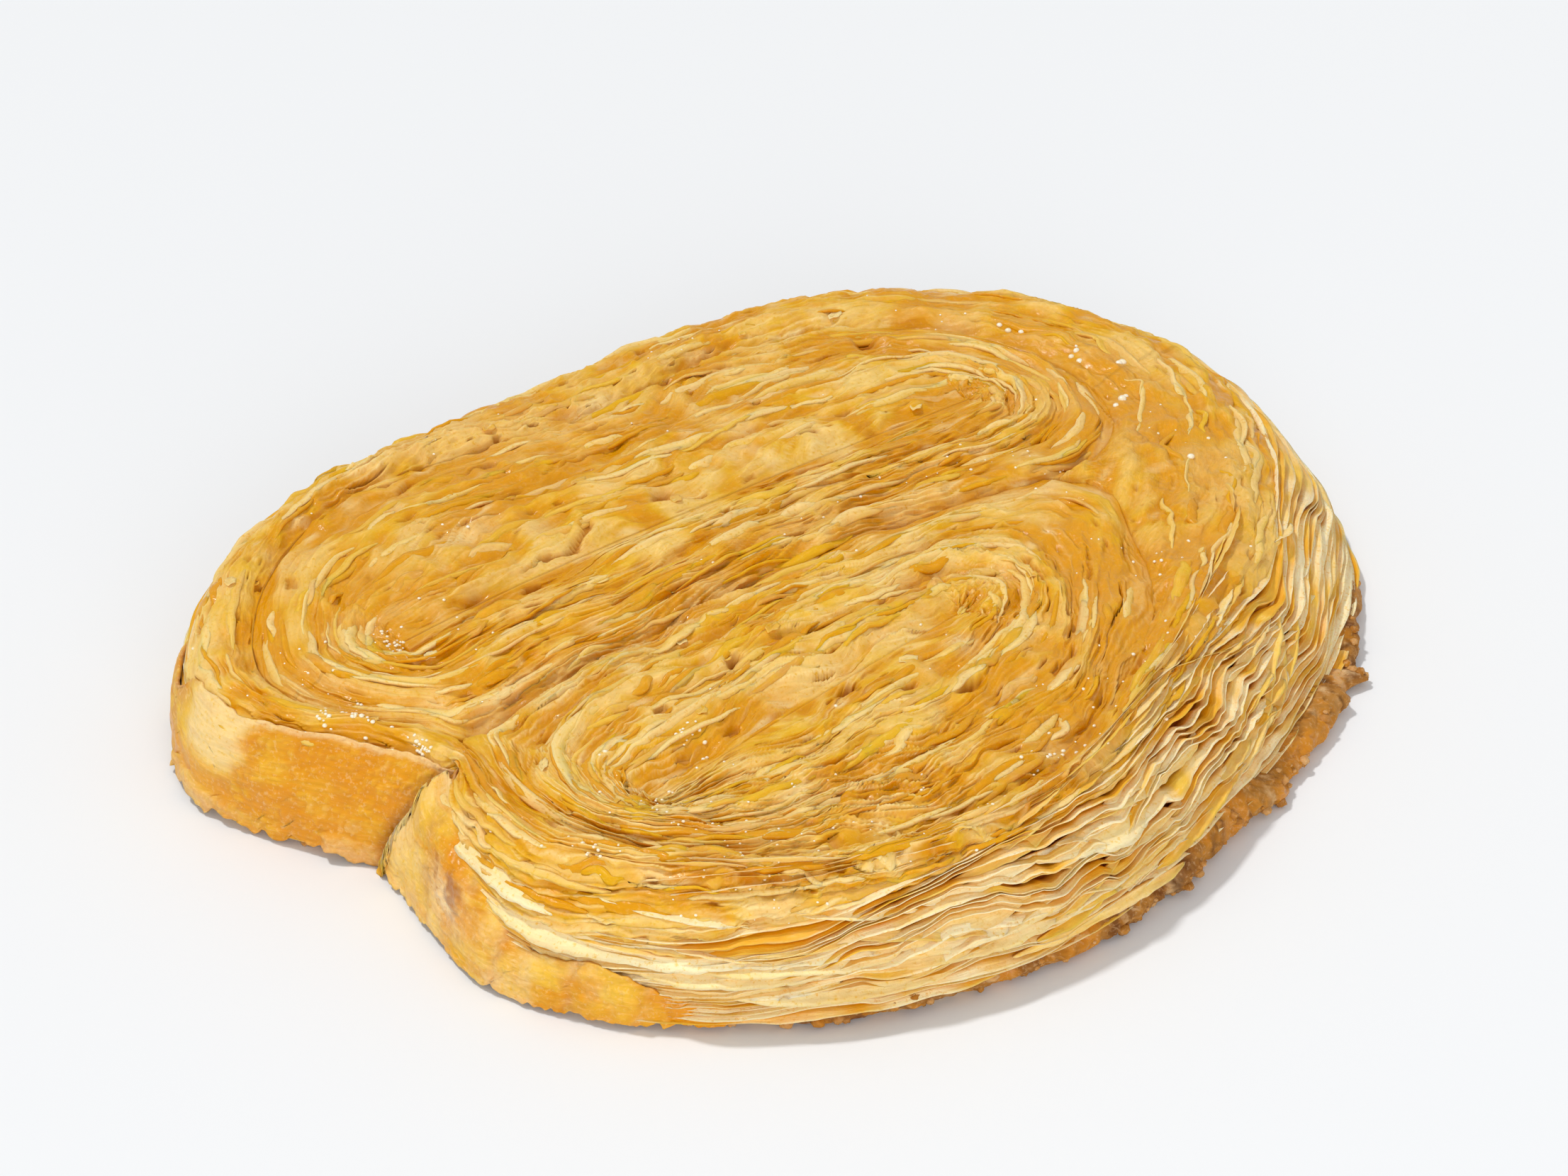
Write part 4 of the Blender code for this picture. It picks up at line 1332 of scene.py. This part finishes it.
def flake_shape():
    """A thin curled patch, 1 by 1, as a closed sheet."""
    u, v = np.meshgrid(np.linspace(-0.5, 0.5, 8), np.linspace(-0.5, 0.5, 6), indexing="ij")
    edge = 1 - 0.35 * np.abs(2 * v) ** 2 - 0.2 * np.sin(9 * v) * u
    lift = 0.5 * u**2 + 0.35 * v**2 + 0.1 * np.sin(7 * u + 3 * v)
    front = np.stack([u * edge, v * (1 - 0.3 * np.abs(2 * u)), lift], axis=-1)
    back = front - np.array([0.0, 0.0, 0.09])
    loop = np.concatenate([front, back[::-1]])
    rows, columns = loop.shape[:2]
    index = np.arange(rows * columns).reshape(rows, columns)
    wrapped = np.vstack([index, index[:1]])
    body = np.stack([wrapped[:-1, :-1], wrapped[:-1, 1:], wrapped[1:, 1:], wrapped[1:, :-1]], axis=-1)
    caps = []
    for column in (0, columns - 1):
        a, b = index[: rows // 2, column], index[::-1, column][: rows // 2]
        cap = np.stack([a[:-1], a[1:], b[1:], b[:-1]], axis=-1)
        caps.append(cap if column == 0 else cap[:, ::-1])
    return loop.reshape(-1, 3), np.concatenate([body.reshape(-1, 4), *caps])


def strand_parts(top, count, wide, long):
    """Thin strips that lie on a top surface, along its leaves but a little across them. Each follows the
    surface's own grid, with the small relief smoothed out, and dips into it at both ends."""
    rows, columns = top.shape[:2]
    near = sum(np.roll(top[..., 2], (i, j), (0, 1)) for i in (-4, -2, 0, 2, 4) for j in (-2, 0, 2)) / 15
    plan = top[..., :2]
    t = np.linspace(0.0, 1.0, 18)
    points, faces, looks, total = [], [], {look: [] for look in (*LOOKS, "across", "along")}, 0
    for number in range(count):
        row = rng.uniform(0.16, 0.96) * rows + rng.normal(0.0, 5.0) * (t - 0.5)
        row = np.clip(row + rng.normal(0.0, 1.2) * np.sin(9 * t + number), 6, rows - 7)
        first = rng.uniform(0, columns)
        gap = np.hypot(*(plan[int(row[0]), int(first) % columns] - plan[int(row[0]), int(first + 1) % columns]))
        column = first + t * min(rng.uniform(*long) / max(gap, 0.2), 0.2 * columns)
        i, j = np.floor(row).astype(int), np.floor(column).astype(int)
        a, b = (row - i)[:, None], (column - j)[:, None]
        place = np.concatenate([plan, near[..., None]], axis=-1)
        before = place[i, j % columns] * (1 - a) + place[i + 1, j % columns] * a
        after = place[i, (j + 1) % columns] * (1 - a) + place[i + 1, (j + 1) % columns] * a
        path = before * (1 - b) + after * b
        ahead = np.gradient(path[:, :2], axis=0)
        side = np.stack([ahead[:, 1], -ahead[:, 0]], axis=-1) / np.linalg.norm(ahead, axis=1)[:, None]
        half = 0.5 * rng.uniform(*wide) * np.sin(np.pi * t) ** 0.6 + 0.02
        x = np.linspace(-1.0, 1.0, 5)[:, None]
        tilt = rng.normal(0.0, 0.22)
        rise = (0.26 + 0.2 * (1 - x**2) + tilt * x) * np.sin(np.pi * t) ** 0.7 - 0.25
        rise = rise + 0.05 * np.sin(7 * t + number)
        spread = path[None, :, :2] + side[None] * (x * half)[..., None]
        front = np.concatenate([spread, (path[:, 2] + rise)[..., None]], axis=-1)
        back = front[::-1] - np.array([0.0, 0.0, 0.3])
        strip = np.concatenate([front, back])
        body, size = strip_faces(strip.shape[0], strip.shape[1])
        points.append(strip.reshape(-1, 3))
        faces.append(body + total)
        total += size
        tone, spare = rng.uniform(0.0, 1.0, 2)
        both = np.concatenate([x, x[::-1]]) + 0 * t
        looks["pale"].append(ease(2.2 * tone - 0.7) * 0.9 * (0.7 + 0.3 * both * np.sign(tilt)))
        looks["toast"].append(ease(2.4 * spare - 0.9) * 0.9 + 0 * both)
        looks["amber"].append(ease(1.2 - 2.6 * tone) * 0.9 + 0 * both)
        looks["gap"].append(0 * both)
        looks["across"].append(both * 0.5 + 9.0 * number)
        looks["along"].append(t * 8.0 + 0 * both)
    return np.concatenate(points), np.concatenate(faces), {k: np.concatenate([v.ravel() for v in w]) for k, w in looks.items()}


def strip_faces(rows, columns):
    """Faces of a closed strip: its rows run round the section, its columns along it, with both ends capped."""
    index = np.arange(rows * columns).reshape(rows, columns)
    wrapped = np.vstack([index, index[:1]])
    body = np.stack([wrapped[:-1, :-1], wrapped[:-1, 1:], wrapped[1:, 1:], wrapped[1:, :-1]], axis=-1)
    half = rows // 2
    caps = []
    for column in (0, columns - 1):
        a, b = index[:half, column], index[::-1, column][:half]
        cap = np.stack([a[:-1], a[1:], b[1:], b[:-1]], axis=-1)
        caps.append(cap if column == 0 else cap[:, ::-1])
    return np.concatenate([body.reshape(-1, 4), *caps]), rows * columns


for name, top, count in (("front", front_top, 210), ("rear", rear_top, 230), ("outer", outer_top[:90], 170)):
    points, faces, looks = strand_parts(top, count, (0.4, 1.3), (4.0, 14.0))
    points[:, 2] = np.minimum(points[:, 2], 16.6)
    make_piece(name + "_strands", points, faces, looks, TOP_CRUST)

flake, flake_faces = flake_shape()
places = pick(tops, 1.05 - glazed, 24)
scales = np.stack([rng.uniform(0.6, 1.3, 24), rng.uniform(1.0, 2.2, 24), rng.uniform(0.5, 0.9, 24)], axis=-1)
points, faces = copies(flake, flake_faces, places, scales, rng.normal(0.15, 0.35, 24))
points[:, 2] = np.minimum(points[:, 2], 16.7)
tone = np.repeat(rng.uniform(0.0, 1.0, 24), len(flake))
looks = {"pale": 0.6 * tone**2, "toast": 0.9 * (1 - tone), "amber": 0.2 + 0 * tone, "gap": 0 * tone}
make_piece("loose_flakes", points, faces, looks, SIDE_LEAVES)

crumb, crumb_faces = ball(8, 12)
crumb = crumb * (1 + 0.35 * rough(crumb[:, :2] * 3 + crumb[:, 2:], 1.0, 211, 2))[:, None]
places = pick(foot_ring[6:26], np.ones(foot_ring[6:26].shape[:2]), 260)
sizes = rng.uniform(0.2, 0.6, 260)
scales = np.stack([sizes * rng.uniform(0.7, 1.5, 260), sizes, sizes * 0.8], axis=-1)
places[:, 2] = np.maximum(places[:, 2], 0.6 * sizes)
points, faces = copies(crumb, crumb_faces, places, scales, rng.uniform(0.0, 6.28, 260))
points[:, 2] = np.maximum(points[:, 2], 0.0)
tone = np.repeat(rng.uniform(0.0, 1.0, 260), len(crumb))
looks = {"pale": 0.6 * tone**2, "toast": 1 - tone, "amber": 0.3 + 0 * tone, "gap": 0 * tone}
make_piece("crumbs", points, faces, looks, CARAMEL)

# %% [markdown]
# ## Floor, light and camera
# A bright, soft studio: pale floor, white surroundings, and one high light from the upper left and behind,
# small enough to draw points of light on the sugar.

# %% Stage
CAMERA_BEARING, CAMERA_ELEVATION = 44.94, 32.0
CAMERA_DISTANCE = 0.4202
CAMERA_TARGET = (-0.00413, -0.00388, 0.008)


def add_floor():
    """A wide pale sheet of matt card."""
    mesh = bpy.data.meshes.new("floor")
    half = 1.5
    mesh.from_pydata([(-half, -half, 0), (half, -half, 0), (half, half, 0), (-half, half, 0)], [], [(0, 1, 2, 3)])
    material = bpy.data.materials.new("white_card")
    material.use_nodes = True
    shader = material.node_tree.nodes["Principled BSDF"]
    shader.inputs["Base Color"].default_value = (0.855, 0.875, 0.9, 1.0)
    shader.inputs["Roughness"].default_value = 0.9
    shader.inputs["Specular IOR Level"].default_value = 0.1
    mesh.materials.append(material)
    floor = bpy.data.objects.new("floor", mesh)
    bpy.context.scene.collection.objects.link(floor)
    floor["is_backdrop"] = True


def direction(bearing, elevation):
    """Unit vector towards a place seen at a bearing from -Y by way of +X, and an elevation."""
    b, e = math.radians(bearing), math.radians(elevation)
    return np.array([math.sin(b) * math.cos(e), -math.cos(b) * math.cos(e), math.sin(e)])


def aim(thing, place, target):
    """Puts a light or a camera at a place, looking at the target."""
    from mathutils import Vector

    thing.location = Vector(place)
    thing.rotation_euler = (Vector(target) - Vector(place)).to_track_quat("-Z", "Y").to_euler()


def add_light():
    """White surroundings, and a sun-like key a few degrees wide."""
    world = bpy.data.worlds.new("studio")
    world.use_nodes = True
    world.node_tree.nodes["Background"].inputs["Color"].default_value = (1.0, 1.0, 1.0, 1.0)
    world.node_tree.nodes["Background"].inputs["Strength"].default_value = 0.54
    bpy.context.scene.world = world
    lamp = bpy.data.lights.new("key", "SUN")
    lamp.energy = 1.5
    lamp.angle = math.radians(6.0)
    lamp.color = (1.0, 0.985, 0.96)
    key = bpy.data.objects.new("key", lamp)
    bpy.context.scene.collection.objects.link(key)
    aim(key, direction(CAMERA_BEARING - 112.0, 65.0), (0, 0, 0))
    panel = bpy.data.lights.new("front_fill", "AREA")
    panel.shape = "DISK"
    panel.size = 0.9
    panel.energy = 7.5
    fill = bpy.data.objects.new("front_fill", panel)
    bpy.context.scene.collection.objects.link(fill)
    aim(fill, 1.2 * direction(CAMERA_BEARING + 8.0, 12.0), (0, 0, 0))


def add_camera():
    """A long lens, looking down at 32 degrees."""
    lens = bpy.data.cameras.new("camera")
    lens.lens = 100.0
    lens.sensor_width = 36.0
    lens.clip_start = 0.01
    camera = bpy.data.objects.new("camera", lens)
    bpy.context.scene.collection.objects.link(camera)
    place = np.array(CAMERA_TARGET) + CAMERA_DISTANCE * direction(CAMERA_BEARING, CAMERA_ELEVATION)
    aim(camera, place, CAMERA_TARGET)
    bpy.context.scene.camera = camera


add_floor()
add_light()
add_camera()
bpy.context.scene.view_settings.view_transform = "Standard"

# %% Sizes, then finish
bpy.context.view_layer.update()
sizes = {"cad": [list(corner) for corner in CAD_BOX], "visual": [list(corner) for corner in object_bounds()]}
print("boxes in mm:", {k: np.round(np.array(v) / MM, 1).tolist() for k, v in sizes.items()})
